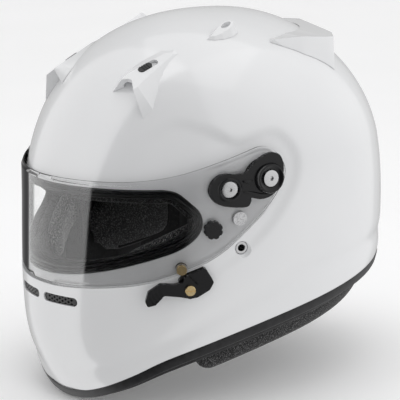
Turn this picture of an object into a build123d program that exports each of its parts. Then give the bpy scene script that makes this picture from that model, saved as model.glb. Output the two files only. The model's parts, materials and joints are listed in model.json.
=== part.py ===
from build123d import *
from math import hypot, radians, sin, sqrt
import os

# Full-face auto racing helmet, in millimetres.
# +Z is up, the face looks along -Y and the wearer's left side is +X.
# The origin lies under the crown, level with the lowest part of the chin edge.

# Outer shell: half sizes of its level sections, each as
# (at the base, at the widest, level of the widest, power of the curve above it)
shell_height = 278.8
side_size = (101.3, 124.65, 178.0, 1.83)
front_size = (136.2, 155.3, 63.6, 2.4)
back_size = (78.9, 147.6, 108.7, 2.38)
shell_wall = 4.5
half_span = 170.0
deep = 60.0

# Bottom edge, seen from the side, and its rubber trim
rim_points = [(-160, -16), (-141, 8), (-121, 27.5), (-97, 43), (-48, 59.5), (14, 72), (96, 82), (170, 87)]
rim_lean = 0.5
trim_height = 7.0
trim_wall = 1.4
trim_gap = 0.25

# Eye port and its gasket
port_top = 165.5
port_bottom = 99.0
port_rear = -84.0
port_rear_level = 140.0
gasket_width = 6.5
gasket_gap = 0.25
gasket_flange = 4.0
gasket_flange_wall = 2.0

# Visor sheet, its bed in the shell and its hinge
visor_wall = 2.2
visor_gap = 0.45
visor_sink = 0.8
visor_flare = 6.0
visor_flare_start = 140.0
visor_flare_end = 192.0
visor_front = 152.4
visor_front_level = 88.0
visor_lean = 0.0805
visor_top = 168.5
visor_bottom = 87.0
bed_margin = 1.6
pivot_y = -43.0
pivot_z = 170.0
arm_wall = 3.2
arm_gap = 0.3
arm_front = (-68.5, 162.5)
arm_front_radius = 12.0
arm_rear_radius = 15.0
screw_head_radius = 6.2
screw_head_height = 1.8
screw_socket_radius = 1.6
screw_socket_depth = 1.0
hub_radius = 5.0
hinge_base_radius = 13.0
hinge_base_wall = 5.0
visor_screw_at = (-70.0, 164.0)
visor_screw_radius = 3.0
running_gap = 0.06
seat_gap = 0.3

# Small parts on the visor
post_at = (-79.0, 136.0)
post_radius = 6.6
post_height = 4.0
post_scallops = 8
post_scallop_radius = 1.6
disc_at = (-61.0, 142.0)
disc_radius = 5.0
disc_height = 1.0

# Visor latch on the left side
latch_at = (-93.0, 95.0)
latch_lift = 4.4
latch_base_corners = [(-7.5, -4), (0, -8), (6, -7), (14.5, -2), (17.5, 3.5), (12, 13.5), (2, 17), (-7.5, 6)]
latch_base_round = 2.4
lever_corners = [
    (-31.5, -7), (-29.5, 0), (-21, 5.4), (-11, 4.6), (-1, 6.4), (6.3, 3),
    (6, -3), (0, -6.4), (-8, -4.6), (-18, -3.2), (-24.5, -9.8), (-30, -10.8),
]
lever_round = 1.6
lever_wall = 3.4
lever_hub = 6.0
lever_lobe = (-2.0, 8.0)
lever_rib_at = (-27.4, -6.2)
lever_rib_step = (2.3, 1.5)
lever_rib_size = (6.5, 1.0)
lever_rib_depth = 0.8
latch_screw_radius = 2.4
latch_screw_head = 3.75
latch_slot_width = 0.9
latch_post_at = (-98.0, 109.0)
latch_post_radius = 3.6
latch_post_head = 2.4
latch_collar_radius = 4.3

# Threaded anchors for a head restraint
anchor_at = (-58.0, 119.5)
anchor_bore = 2.5
anchor_hub = 4.5
anchor_flange = 8.0
anchor_flange_wall = 2.0
anchor_length = 9.0
anchor_sink = 2.0
anchor_dish = 1.8

# Vents
hood_root = 9.0
hood_narrowing = 0.62
brow_at = (47.0, 239.0)
brow_height = 7.5
slider_length = 11.0
slider_width = 5.6
slider_travel = 5.0
slider_gap = 0.2
slider_proud = 0.3
slider_groove = 0.8
slider_groove_pitch = 2.0
slot_depth = 2.4
top_vent_at = (53.0, -27.0)
top_vent_height = 6.0
chin_slot_level = 81.0
chin_slot_middle = 19.5
chin_slot_length = 33.0
chin_slot_width = 6.4
grille_wall = 2.0
grille_inset = 1.2
grille_hole_radius = 1.1
grille_hole_pitch = 1.55

# Liner and padding
liner_gap = 0.35
eps_wall = 32.0
eps_rim_rise = 9.0
chin_eps_wall = 20.0
comfort_wall = 9.0
comfort_level = 148.0
pad_gap = 0.4
cheek_wall = 24.0
neck_wall = 13.0
neck_inset = 7.0
neck_drop = 25.0
neck_front = -78.0
neck_rise = 64.0
neck_corner_radius = 9.0

# Chin strap and its rings
strap_wall = 1.6
strap_width = 24.0
strap_y = -22.0
strap_low = 50.0
strap_foot_level = 66.0
strap_bend_x = 50.0
strap_long_end = -8.0
strap_short_end = 28.0
strap_head = 12.0
stud_level = 108.0
stud_radius = 4.0
stud_length = 7.0
ring_wire = 1.9
ring_reach = 16.0
ring_foot_width = 9.5
ring_corner = 2.6
ring_bow = 8.0
ring_gap = 0.3


def reach(level, size, grow=0.0):
    # Half size of a level section: a parabola below the widest level, a superellipse above it
    low, most, widest, power = size
    if level < widest:
        return most - (most - low) * ((widest - level) / widest) ** 2 + grow
    rise = min((level - widest) / (shell_height + grow - widest), 1)
    return (most + grow) * (1 - rise**power) ** (1 / power)


def oval(level, side, front, back):
    # One level section, in four quarter arcs
    with BuildSketch(Plane.XY.offset(level)) as section:
        with BuildLine():
            EllipticalCenterArc((0, 0), side, back, start_angle=0, arc_size=90)
            EllipticalCenterArc((0, 0), side, back, start_angle=90, arc_size=90)
            EllipticalCenterArc((0, 0), side, front, start_angle=180, arc_size=90)
            EllipticalCenterArc((0, 0), side, front, start_angle=270, arc_size=90)
        make_face()
    return section.sketch


def dome(grow=0.0, mode=Mode.ADD):
    # The solid inside the shell's outer surface, grown outward or inward
    top = shell_height + grow
    shoulder = 150.0
    levels = [0, 30, 60, 90, 120, shoulder]
    levels += [shoulder + (top - shoulder) * sin(radians(a)) for a in (9, 18, 27, 36, 45, 54, 63, 72, 81, 87)]
    rings = [oval(z, *(reach(z, size, grow) for size in (side_size, front_size, back_size))) for z in levels]
    return loft(rings + [Vertex(0, 0, top)], mode=mode)


def visor_side(level, grow=0.0):
    # Half width of the visor's inner face, which flares out towards its upper edge
    rise = max(level - visor_flare_start, 0) / (visor_flare_end - visor_flare_start)
    return reach(level, side_size) - visor_sink + visor_flare * rise**1.5 + grow


def visor_reach(level, grow=0.0):
    return visor_front - visor_lean * (level - visor_front_level) + grow


def visor_form(grow=0.0, mode=Mode.ADD):
    # The solid inside the visor's inner face
    levels = [70, 90, 110, 125, 140, 155, 170, 185, 200]
    back = back_size[1] - 30
    return loft([oval(z, visor_side(z, grow), visor_reach(z, grow), back) for z in levels], mode=mode)


def shell_fill(point, grow=0.0):
    # 1 on the shell's outer surface, less inside it
    end = front_size if point.Y < 0 else back_size
    across = point.X / reach(point.Z, side_size, grow)
    along = point.Y / reach(point.Z, end, grow)
    return across**2 + along**2


def visor_fill(point, grow=0.0):
    return (point.X / visor_side(point.Z, grow)) ** 2 + (point.Y / visor_reach(point.Z, grow)) ** 2


def side_point(at, fill=shell_fill, grow=0.0):
    # Point of a surface at a place in the side view
    y, z = at
    width = 1 / sqrt(fill(Vector(1, y, z), grow) - fill(Vector(0, y, z), grow))
    return Vector(width * sqrt(1 - fill(Vector(0, y, z), grow)), y, z)


def front_point(at, grow=0.0):
    x, z = at
    depth = reach(z, front_size, grow) * sqrt(1 - (x / reach(z, side_size, grow)) ** 2)
    return Vector(x, -depth, z)


def crown_point(at, grow=0.0):
    # Point of the shell over a place in the plan, found by halving
    x, y = at
    low, high = side_size[2], shell_height + grow - 0.01
    for _ in range(40):
        level = (low + high) / 2
        low, high = (level, high) if shell_fill(Vector(x, y, level), grow) < 1 else (low, level)
    return Vector(x, y, low)


def surface_plane(point, fill=shell_fill, grow=0.0):
    # Plane that touches a surface: its Z axis points outward and its X axis is level, towards the left and rear
    step = 0.2
    slopes = [
        fill(point + Vector(*axis) * step, grow) - fill(point - Vector(*axis) * step, grow)
        for axis in ((1, 0, 0), (0, 1, 0), (0, 0, 1))
    ]
    out = Vector(*slopes).normalized()
    return Plane(origin=point, x_dir=Vector(0, 0, 1).cross(out), z_dir=out)


def rim_line(drop):
    return Spline([(y + rim_lean * drop, z - drop) for y, z in rim_points])


def rim_level(place):
    # Level of the bottom edge at a place along Y
    for (near_y, near_z), (far_y, far_z) in zip(rim_points, rim_points[1:]):
        if place <= far_y:
            return near_z + (far_z - near_z) * (place - near_y) / (far_y - near_y)


def under_rim(drop):
    # Side view of everything below the bottom edge, lowered by drop
    with BuildSketch(Plane.YZ) as region:
        with BuildLine():
            edge = rim_line(drop)
            Polyline(edge @ 1, (half_span + 20, -deep), (-half_span - 20, -deep), edge @ 0)
        make_face()
    return region.sketch


def rim_band(top_drop, low_drop):
    with BuildSketch(Plane.YZ) as region:
        with BuildLine():
            top = rim_line(top_drop)
            low = rim_line(low_drop)
            Line(top @ 0, low @ 0)
            Line(top @ 1, low @ 1)
        make_face()
    return region.sketch


def side_outline(corners, radii, grow=0.0):
    # Closed outline in the side view with rounded corners, open ends joined by a straight line
    with BuildSketch(Plane.YZ) as region:
        with BuildLine():
            edge = FilletPolyline(*corners, radius=radii)
            Line(edge @ 1, edge @ 0)
        make_face()
        if grow:
            offset(amount=grow)
    return region.sketch


def port_outline(grow=0.0):
    front = -half_span - 10
    corners = [
        (front, port_top),
        (port_rear - 11, port_top - 1.5),
        (port_rear, port_rear_level),
        (port_rear - 9, port_rear_level - 21),
        (port_rear - 32, port_bottom + 15),
        (port_rear - 56, port_bottom + 2),
        (front, port_bottom - 2),
    ]
    return side_outline(corners, [11, 20, 10, 16, 20], grow)


def visor_outline(grow=0.0):
    front = -half_span - 10
    corners = [
        (front, visor_top),
        (pivot_y - 69, visor_top + 1),
        (pivot_y + 1, pivot_z + 25),
        (pivot_y + 19, pivot_z + 2),
        (pivot_y + 3, pivot_z - 23),
        (pivot_y - 32, pivot_z - 55),
        (pivot_y - 72, visor_bottom + 11.5),
        (front, visor_bottom - 1),
    ]
    return side_outline(corners, [140, 14, 17, 60, 80, 120], grow)


def through(sketch, mode=Mode.ADD):
    # A side view outline carried across the whole width
    return extrude(sketch, amount=half_span, both=True, mode=mode)


def finish(piece, name):
    piece.part.label = name
    export_step(piece.part, f"parts/{name}.step")


def finish_pair(piece, name):
    # A left piece and its mirrored twin
    finish(piece, name + "_left")
    with BuildPart() as twin:
        mirror(piece.part, about=Plane.YZ)
    finish(twin, name + "_right")


os.makedirs("parts", exist_ok=True)

pivot_axis = Plane(origin=(0, pivot_y, pivot_z), x_dir=(0, 1, 0), z_dir=(1, 0, 0))
anchor_plane = surface_plane(side_point(anchor_at))
latch_plane = surface_plane(side_point(latch_at))
brow_plane = surface_plane(front_point(brow_at))
top_vent_plane = surface_plane(crown_point(top_vent_at))

# Level of the hinge base's flat face: just inside the visor at the front of the base
base_face_x = side_point((pivot_y - hinge_base_radius, pivot_z), visor_fill).X - visor_gap
hub_end_x = side_point((pivot_y, pivot_z), visor_fill, visor_wall + arm_gap + arm_wall).X + 0.2


# Outer shell, open below and at the eyes, with a bed that the visor closes into
with BuildPart() as visor_bed:
    through(visor_outline(bed_margin))
    visor_form(-visor_gap, mode=Mode.SUBTRACT)

with BuildPart() as chin_slots:
    with BuildSketch(Plane.XZ):
        with Locations((chin_slot_middle, chin_slot_level), (-chin_slot_middle, chin_slot_level)):
            SlotOverall(chin_slot_length, chin_slot_width)
    extrude(amount=half_span)

with BuildPart() as anchor_hole:
    with BuildSketch(anchor_plane.offset(-deep / 2)):
        Circle(anchor_hub + seat_gap)
    extrude(amount=deep)
    with BuildSketch(anchor_plane.offset(-anchor_dish)):
        Circle(anchor_hub + seat_gap)
    with BuildSketch(anchor_plane.offset(seat_gap)):
        Circle(anchor_hub + anchor_dish)
    loft()

with BuildPart() as hinge_hole:
    with BuildSketch(pivot_axis.offset(base_face_x - hinge_base_wall)):
        Circle(hinge_base_radius + seat_gap)
    extrude(amount=deep)

with BuildPart() as outer_shell:
    dome()
    dome(-shell_wall, mode=Mode.SUBTRACT)
    through(under_rim(trim_height / 2), mode=Mode.SUBTRACT)
    through(port_outline(), mode=Mode.SUBTRACT)
    add(visor_bed.part, mode=Mode.SUBTRACT)
    add(chin_slots.part, mode=Mode.SUBTRACT)
    for cut in (anchor_hole, hinge_hole):
        add(cut.part, mode=Mode.SUBTRACT)
        mirror(cut.part, about=Plane.YZ, mode=Mode.SUBTRACT)
    with BuildSketch(latch_plane.offset(-deep / 4)):
        Circle(latch_screw_radius + running_gap)
    extrude(amount=deep / 2, mode=Mode.SUBTRACT)
finish(outer_shell, "outer_shell")

# Rubber channel on the bottom edge
with BuildPart() as trim_core:
    dome(trim_gap)
    dome(-shell_wall - trim_gap, mode=Mode.SUBTRACT)
    through(rim_band(-deep, trim_height / 2 + trim_gap), mode=Mode.INTERSECT)

with BuildPart() as edge_trim:
    dome(trim_wall)
    dome(-shell_wall - trim_wall, mode=Mode.SUBTRACT)
    through(rim_band(0, trim_height), mode=Mode.INTERSECT)
    add(trim_core.part, mode=Mode.SUBTRACT)
finish(edge_trim, "edge_trim")

# Eye port gasket: a wide lip that meets the visor and a flange inside the shell
with BuildPart() as gasket_flange_ring:
    dome(-shell_wall - gasket_gap)
    dome(-shell_wall - gasket_gap - gasket_flange_wall, mode=Mode.SUBTRACT)
    through(port_outline(gasket_flange), mode=Mode.INTERSECT)

with BuildPart() as eyeport_gasket:
    visor_form(-visor_gap)
    dome(-shell_wall - gasket_gap - gasket_flange_wall, mode=Mode.SUBTRACT)
    through(port_outline(-gasket_gap), mode=Mode.INTERSECT)
    add(gasket_flange_ring.part)
    through(port_outline(-gasket_width), mode=Mode.SUBTRACT)
finish(eyeport_gasket, "eyeport_gasket")

# Energy liner of the skull and of the chin bar, with pockets for what is bolted to the shell
eps_outer = -shell_wall - liner_gap
eps_inner = eps_outer - eps_wall
stud_plane = surface_plane(side_point((strap_y, stud_level), grow=eps_inner), grow=eps_inner)

with BuildPart() as anchor_pocket:
    with BuildSketch(anchor_plane.offset(-anchor_length - anchor_sink - 1)):
        Circle(anchor_flange + seat_gap)
    extrude(amount=anchor_length)

with BuildPart() as stud_hole:
    with BuildSketch(stud_plane.offset(-strap_wall)):
        Circle(stud_radius + seat_gap)
    extrude(amount=stud_length + strap_wall)

with BuildPart() as eps_liner:
    dome(eps_outer)
    dome(eps_inner, mode=Mode.SUBTRACT)
    through(under_rim(-eps_rim_rise), mode=Mode.SUBTRACT)
    with BuildSketch(Plane.YZ) as face_opening:
        with BuildLine():
            edge = FilletPolyline(
                (-half_span, port_top + 6),
                (port_rear + gasket_flange + 4, port_top + 6),
                (port_rear + gasket_flange + 4, 0),
                radius=12,
            )
            Polyline(edge @ 1, (-half_span, 0), edge @ 0)
        make_face()
    through(face_opening.sketch, mode=Mode.SUBTRACT)
    for side in (1, -1):
        with Locations(pivot_axis.offset(side * (base_face_x - hinge_base_wall / 2))):
            Cylinder(hinge_base_radius + 3, 2 * hinge_base_wall, mode=Mode.SUBTRACT)
    for pocket in (anchor_pocket, stud_hole):
        add(pocket.part, mode=Mode.SUBTRACT)
        mirror(pocket.part, about=Plane.YZ, mode=Mode.SUBTRACT)
finish(eps_liner, "eps_liner")

chin_rear = port_rear - 6
with BuildPart() as chin_liner:
    dome(eps_outer)
    dome(eps_outer - chin_eps_wall, mode=Mode.SUBTRACT)
    through(under_rim(-eps_rim_rise), mode=Mode.SUBTRACT)
    with BuildSketch(Plane.YZ):
        with BuildLine():
            Polyline(
                (-half_span, 0),
                (chin_rear, 0),
                (chin_rear, port_rear_level - 32),
                (port_rear - 32, port_bottom + 3),
                (-half_span, port_bottom - 10),
                close=True,
            )
        make_face()
    extrude(amount=half_span, both=True, mode=Mode.INTERSECT)
finish(chin_liner, "chin_liner")

# Removable padding
with BuildPart() as crown_pad:
    dome(eps_inner - pad_gap)
    dome(eps_inner - pad_gap - comfort_wall, mode=Mode.SUBTRACT)
    with BuildSketch(Plane.YZ):
        with BuildLine():
            edge = FilletPolyline(
                (half_span, comfort_level),
                (port_rear + 22, comfort_level),
                (port_rear + 12, port_top + 8),
                (-half_span, port_top + 8),
                radius=8,
            )
            Polyline(edge @ 1, (-half_span, 0), (half_span, 0), edge @ 0)
        make_face()
    extrude(amount=half_span, both=True, mode=Mode.SUBTRACT)
finish(crown_pad, "crown_pad")

cheek_outer = eps_inner - strap_wall - 2 * pad_gap
cheek_corners = [(-97, 96), (-88, 84), (-40, 76), (18, 86), (20, 142), (-48, 142), (-84, 122), (-97, 96)]
with BuildPart() as cheek_pad:
    for inset, x in ((-9, 0), (-3, 6), (0, 14), (0, cheek_wall + 30)):
        with BuildSketch(Plane.YZ.offset(reach(comfort_level, side_size) + cheek_outer - cheek_wall + x)):
            with BuildLine():
                FilletPolyline(*cheek_corners, radius=14)
            make_face()
            if inset:
                offset(amount=inset)
    loft()
    dome(cheek_outer, mode=Mode.INTERSECT)
finish_pair(cheek_pad, "cheek_pad")

neck_tip_level = rim_level(neck_front - rim_lean * neck_drop) - neck_drop
neck_corners = [
    (2 * half_span, shell_height),
    (neck_front, shell_height),
    (neck_front, neck_tip_level),
    (2 * half_span, neck_tip_level + neck_rise),
]
with BuildPart() as neck_roll:
    dome(-neck_inset)
    dome(-neck_inset - neck_wall, mode=Mode.SUBTRACT)
    through(rim_band(pad_gap - eps_rim_rise, neck_drop), mode=Mode.INTERSECT)
    through(side_outline(neck_corners, neck_corner_radius), mode=Mode.INTERSECT)
finish(neck_roll, "neck_roll")

# Visor hinge: a base set in the shell carries a hub, on which the visor and its arm turn
with BuildPart() as hinge_base:
    with BuildSketch(pivot_axis.offset(base_face_x - hinge_base_wall)):
        Circle(hinge_base_radius)
    extrude(amount=hinge_base_wall)
    with BuildSketch(pivot_axis.offset(base_face_x)):
        Circle(hub_radius)
    extrude(amount=hub_end_x - base_face_x)
    with BuildSketch(pivot_axis.offset(base_face_x - hinge_base_wall)):
        Circle(hub_radius / 2 + running_gap)
    extrude(amount=deep, mode=Mode.SUBTRACT)
finish_pair(hinge_base, "hinge_base")

with BuildPart() as pivot_screw:
    with BuildSketch(pivot_axis.offset(base_face_x)):
        Circle(hub_radius / 2)
    extrude(amount=hub_end_x - base_face_x + running_gap)
    with BuildSketch(pivot_axis.offset(hub_end_x + running_gap)):
        Circle(screw_head_radius)
    extrude(amount=screw_head_height)
    fillet(pivot_screw.edges().filter_by(GeomType.CIRCLE).sort_by(Axis.X)[-1], 0.6)
    with BuildSketch(pivot_axis.offset(hub_end_x + screw_head_height - screw_socket_depth)):
        RegularPolygon(screw_socket_radius, 6)
    extrude(amount=deep, mode=Mode.SUBTRACT)
finish_pair(pivot_screw, "pivot_screw")

post_plane = surface_plane(side_point(post_at, visor_fill, visor_wall), visor_fill, visor_wall)
disc_plane = surface_plane(side_point(disc_at, visor_fill, visor_wall), visor_fill, visor_wall)
latch_post_plane = surface_plane(side_point(latch_post_at, visor_fill, visor_wall), visor_fill, visor_wall)
arm_face = visor_wall + arm_gap + arm_wall
visor_screw_plane = surface_plane(side_point(visor_screw_at, visor_fill, arm_face), visor_fill, arm_face)

with BuildPart() as visor_holes:
    with BuildSketch(pivot_axis):
        Circle(hub_radius + running_gap)
    extrude(amount=half_span)
    with BuildSketch(visor_screw_plane.offset(-deep / 4)):
        Circle(visor_screw_radius + running_gap)
    extrude(amount=deep / 2)
    with BuildSketch(post_plane.offset(-deep / 4)):
        Circle(post_radius / 2 + running_gap)
    extrude(amount=deep / 2)

with BuildPart() as visor:
    visor_form(visor_wall)
    visor_form(mode=Mode.SUBTRACT)
    through(visor_outline(), mode=Mode.INTERSECT)
    add(visor_holes.part, mode=Mode.SUBTRACT)
    mirror(visor_holes.part, about=Plane.YZ, mode=Mode.SUBTRACT)
    with BuildSketch(latch_post_plane.offset(-deep / 4)):
        Circle(latch_post_radius / 2 + running_gap)
    extrude(amount=deep / 2, mode=Mode.SUBTRACT)
finish(visor, "visor")

with BuildPart() as hinge_arm:
    visor_form(arm_face)
    visor_form(visor_wall + arm_gap, mode=Mode.SUBTRACT)
    with BuildSketch(Plane.YZ):
        with Locations((pivot_y + 1, pivot_z - 2)):
            Circle(arm_rear_radius)
        with Locations((pivot_y + 5, pivot_z + 7)):
            Circle(arm_rear_radius / 2)
        make_hull()
        with Locations(arm_front):
            Circle(arm_front_radius)
        with BuildLine():
            Polyline(
                (arm_front[0], arm_front[1] + arm_front_radius - 2),
                (pivot_y - 14, pivot_z + 3.5),
                (pivot_y - 5, pivot_z + 11),
                (pivot_y, pivot_z - 2 - arm_rear_radius),
                (arm_front[0], arm_front[1] - arm_front_radius),
                close=True,
            )
        make_face()
        with Locations(Location((arm_front[0] + 8, arm_front[1] - arm_front_radius - 0.5), 4)):
            SlotOverall(14, 5.5)
    extrude(amount=half_span, mode=Mode.INTERSECT)
    with BuildSketch(visor_screw_plane.offset(-arm_wall / 2)):
        Circle(screw_head_radius + 2)
    extrude(amount=arm_wall / 2 + 1)
    with BuildSketch(visor_screw_plane):
        Circle(screw_head_radius + seat_gap)
    extrude(amount=deep, mode=Mode.SUBTRACT)
    with BuildSketch(visor_screw_plane.offset(-deep / 4)):
        Circle(visor_screw_radius + running_gap)
    extrude(amount=deep / 2, mode=Mode.SUBTRACT)
    with BuildSketch(pivot_axis.offset(hub_end_x - seat_gap)):
        Circle(screw_head_radius + seat_gap)
    extrude(amount=deep, mode=Mode.SUBTRACT)
    with BuildSketch(pivot_axis):
        Circle(hub_radius + running_gap)
    extrude(amount=half_span, mode=Mode.SUBTRACT)
finish_pair(hinge_arm, "hinge_arm")

with BuildPart() as visor_screw:
    with BuildSketch(visor_screw_plane.offset(-arm_face)):
        Circle(visor_screw_radius)
    extrude(amount=arm_face + running_gap)
    with BuildSketch(visor_screw_plane.offset(running_gap)):
        Circle(screw_head_radius)
    extrude(amount=screw_head_height)
    with BuildSketch(visor_screw_plane.offset(screw_head_height - screw_socket_depth)):
        RegularPolygon(screw_socket_radius, 6)
    extrude(amount=deep, mode=Mode.SUBTRACT)
finish_pair(visor_screw, "visor_screw")

with BuildPart() as tearoff_post:
    with BuildSketch(post_plane.offset(-visor_wall)):
        Circle(post_radius / 2)
    extrude(amount=visor_wall + seat_gap)
    with BuildSketch(post_plane.offset(seat_gap)):
        Circle(post_radius)
        with PolarLocations(post_radius + post_scallop_radius / 2, post_scallops):
            Circle(post_scallop_radius, mode=Mode.SUBTRACT)
    extrude(amount=post_height)
finish_pair(tearoff_post, "tearoff_post")

with BuildPart() as visor_disc:
    with BuildSketch(disc_plane.offset(running_gap)):
        Circle(disc_radius)
    extrude(amount=disc_height)
finish_pair(visor_disc, "visor_disc")

with BuildPart() as anchor_insert:
    with BuildSketch(anchor_plane.offset(-anchor_sink - anchor_length)):
        Circle(anchor_hub)
    extrude(amount=anchor_length)
    with BuildSketch(anchor_plane.offset(-shell_wall - 2 * seat_gap - anchor_flange_wall)):
        Circle(anchor_flange)
    extrude(amount=anchor_flange_wall)
    with BuildSketch(anchor_plane.offset(-deep / 2)):
        Circle(anchor_bore)
    extrude(amount=deep, mode=Mode.SUBTRACT)
finish_pair(anchor_insert, "anchor_insert")

# Visor latch: a base on the shell, a lever that turns on it and a post on the visor
post_local = latch_plane.to_local_coords(latch_post_plane.origin)
post_u, post_v = post_local.X, post_local.Y
lobe_radius = hypot(post_u - lever_lobe[0], post_v - lever_lobe[1]) - latch_collar_radius - seat_gap

with BuildPart() as latch_base:
    with BuildSketch(latch_plane.offset(-deep / 6)):
        with BuildLine():
            FilletPolyline(*latch_base_corners, radius=latch_base_round, close=True)
        make_face()
    extrude(amount=deep / 6 + latch_lift - seat_gap)
    through(visor_outline(bed_margin), mode=Mode.SUBTRACT)
    dome(seat_gap, mode=Mode.SUBTRACT)
    with BuildSketch(latch_plane.offset(-deep / 4)):
        Circle(latch_screw_radius + running_gap)
    extrude(amount=deep / 2, mode=Mode.SUBTRACT)
finish(latch_base, "latch_base")

with BuildPart() as latch_lever:
    with BuildSketch(latch_plane.offset(latch_lift)):
        with BuildLine():
            FilletPolyline(*lever_corners, radius=lever_round, close=True)
        make_face()
    extrude(amount=lever_wall)
    with BuildSketch(latch_plane.offset(latch_lift)):
        Circle(lever_hub)
        with Locations(lever_lobe):
            Circle(lobe_radius)
        make_hull()
    extrude(amount=lever_wall)
    with BuildSketch(latch_plane.offset(latch_lift + lever_wall - lever_rib_depth)):
        for number in range(4):
            place = (lever_rib_at[0] + number * lever_rib_step[0], lever_rib_at[1] + number * lever_rib_step[1])
            with Locations(Location(place, -60)):
                SlotOverall(*lever_rib_size)
    extrude(amount=deep, mode=Mode.SUBTRACT)
    with BuildSketch(latch_plane):
        Circle(latch_screw_radius + running_gap)
    extrude(amount=deep / 2, mode=Mode.SUBTRACT)
finish(latch_lever, "latch_lever")

with BuildPart() as latch_screw:
    with BuildSketch(latch_plane.offset(-shell_wall)):
        Circle(latch_screw_radius)
    extrude(amount=shell_wall + latch_lift + lever_wall + seat_gap)
    with BuildSketch(latch_plane.offset(latch_lift + lever_wall + running_gap)):
        Circle(latch_screw_head)
    extrude(amount=1.6)
    with BuildSketch(latch_plane.offset(latch_lift + lever_wall + 1)):
        Rectangle(3 * latch_screw_head, latch_slot_width)
    extrude(amount=deep, mode=Mode.SUBTRACT)
finish(latch_screw, "latch_screw")

with BuildPart() as latch_collar:
    with BuildSketch(latch_post_plane.offset(seat_gap)):
        Circle(latch_collar_radius)
        Circle(latch_post_radius / 2 + running_gap, mode=Mode.SUBTRACT)
    extrude(amount=latch_lift - 1)
finish(latch_collar, "latch_collar")

with BuildPart() as latch_post:
    with BuildSketch(latch_post_plane.offset(-visor_wall)):
        Circle(latch_post_radius / 2)
    extrude(amount=visor_wall + latch_lift)
    with BuildSketch(latch_post_plane.offset(latch_lift - 1 + seat_gap + running_gap)):
        Circle(latch_post_radius)
    extrude(amount=latch_post_head)
finish(latch_post, "latch_post")


def surface_height(plane, u, v):
    # Height of the shell over a plane that touches it, found by halving
    low, high = -deep / 2, 1.0
    for _ in range(30):
        middle = (low + high) / 2
        inside = shell_fill(plane.from_local_coords(Vector(u, v, middle))) < 1
        low, high = (middle, high) if inside else (low, middle)
    return low


def hood(plane, outline, ridge, heights, narrowing=hood_narrowing):
    # Scoop on the shell: its sides leave the shell at an outline and lean in towards a sloping ridge
    (start_u, start_v), (end_u, end_v) = ridge
    length = hypot(end_u - start_u, end_v - start_v)
    along_u, along_v = (end_u - start_u) / length, (end_v - start_v) / length
    root, upper = [], []
    for u, v in outline:
        run = min(max((u - start_u) * along_u + (v - start_v) * along_v, 0), length)
        near_u, near_v = start_u + run * along_u, start_v + run * along_v
        top_u, top_v = u + narrowing * (near_u - u), v + narrowing * (near_v - v)
        run = (top_u - start_u) * along_u + (top_v - start_v) * along_v
        top = heights[0] + (heights[1] - heights[0]) * run / length
        foot = surface_height(plane, u, v)
        spread = (top + hood_root) / (top - foot)
        root.append((top_u + spread * (u - top_u), top_v + spread * (v - top_v), -hood_root))
        upper.append((top_u, top_v, top))
    rings = [
        Face(Wire.make_polygon([plane.from_local_coords(Vector(*point)) for point in points]))
        for points in (root, upper)
    ]
    with BuildPart() as scoop:
        loft(rings, ruled=True)
        dome(seat_gap, mode=Mode.SUBTRACT)
    return scoop.part


# Brow vents with their sliders
brow_ridge = ((-6, -8), (14, 19))
brow_sides = [
    (-21.5, -13.2), (-11, -9.2), (-3.5, -10.8), (-0.7, -15.8), (6.7, -34.7), (13, -27.4),
    (14, -13.3), (20.5, 23.2), (16.3, 27.2), (5.2, 24.9), (-7.6, 11.6), (-17.5, -0.3),
]
brow_rear_height = -1.0
mouth_at = (-7.5, -4.0)
mouth_radius = 5.5
slot_middle = (2.3, 6.3)
ridge_length = hypot(brow_ridge[1][0] - brow_ridge[0][0], brow_ridge[1][1] - brow_ridge[0][1])
ridge_slope = (brow_rear_height - brow_height) / ridge_length
slot_run = hypot(slot_middle[0] - brow_ridge[0][0], slot_middle[1] - brow_ridge[0][1])
slot_middle_point = brow_plane.from_local_coords(Vector(*slot_middle, brow_height + ridge_slope * slot_run))
ridge_ends = [
    brow_plane.from_local_coords(Vector(*brow_ridge[0], brow_height)),
    brow_plane.from_local_coords(Vector(*brow_ridge[1], brow_rear_height)),
]
ridge_direction = (ridge_ends[1] - ridge_ends[0]).normalized()
ridge_across = brow_plane.z_dir.cross(ridge_direction)
slot_plane = Plane(origin=slot_middle_point, x_dir=ridge_direction, z_dir=ridge_direction.cross(ridge_across))

with BuildPart() as brow_vent:
    add(hood(brow_plane, brow_sides, brow_ridge, (brow_height, brow_rear_height)))
    mouth = Plane(
        origin=brow_plane.from_local_coords(Vector(*mouth_at, 0)),
        x_dir=brow_plane.x_dir,
        z_dir=brow_plane.y_dir,
    )
    with BuildSketch(mouth):
        Ellipse(mouth_radius, brow_height - 3)
    extrude(amount=-deep, mode=Mode.SUBTRACT)
    with BuildSketch(slot_plane.offset(-slot_depth)):
        SlotOverall(slider_length + slider_travel + 2 * slider_gap, slider_width + 2 * slider_gap)
    extrude(amount=deep, mode=Mode.SUBTRACT)
finish_pair(brow_vent, "brow_vent")

with BuildPart() as brow_slider:
    with BuildSketch(slot_plane.offset(-slot_depth + slider_gap)):
        with Locations((-slider_travel / 2, 0)):
            SlotOverall(slider_length, slider_width)
    extrude(amount=slot_depth + slider_proud)
    with BuildSketch(slot_plane):
        with Locations((-slider_travel / 2, 0)):
            with GridLocations(slider_groove_pitch, 0, 3, 1):
                Rectangle(slider_groove, slider_width)
    extrude(amount=deep, mode=Mode.SUBTRACT)
finish_pair(brow_slider, "brow_slider")

# Crown vents
top_vent_sides = [
    (-12.5, -8), (-7, -9.6), (1, -9.4), (9, -6.4), (14.5, -1), (15, 4.5), (10.5, 8.4), (3.8, 8.6), (-4.4, 2.2),
]
nozzle_at = (5.0, 1.5)
nozzle_size = (4.4, 2.3)
nozzle_turn = 30.0
nozzle_depth = 3.5

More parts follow.
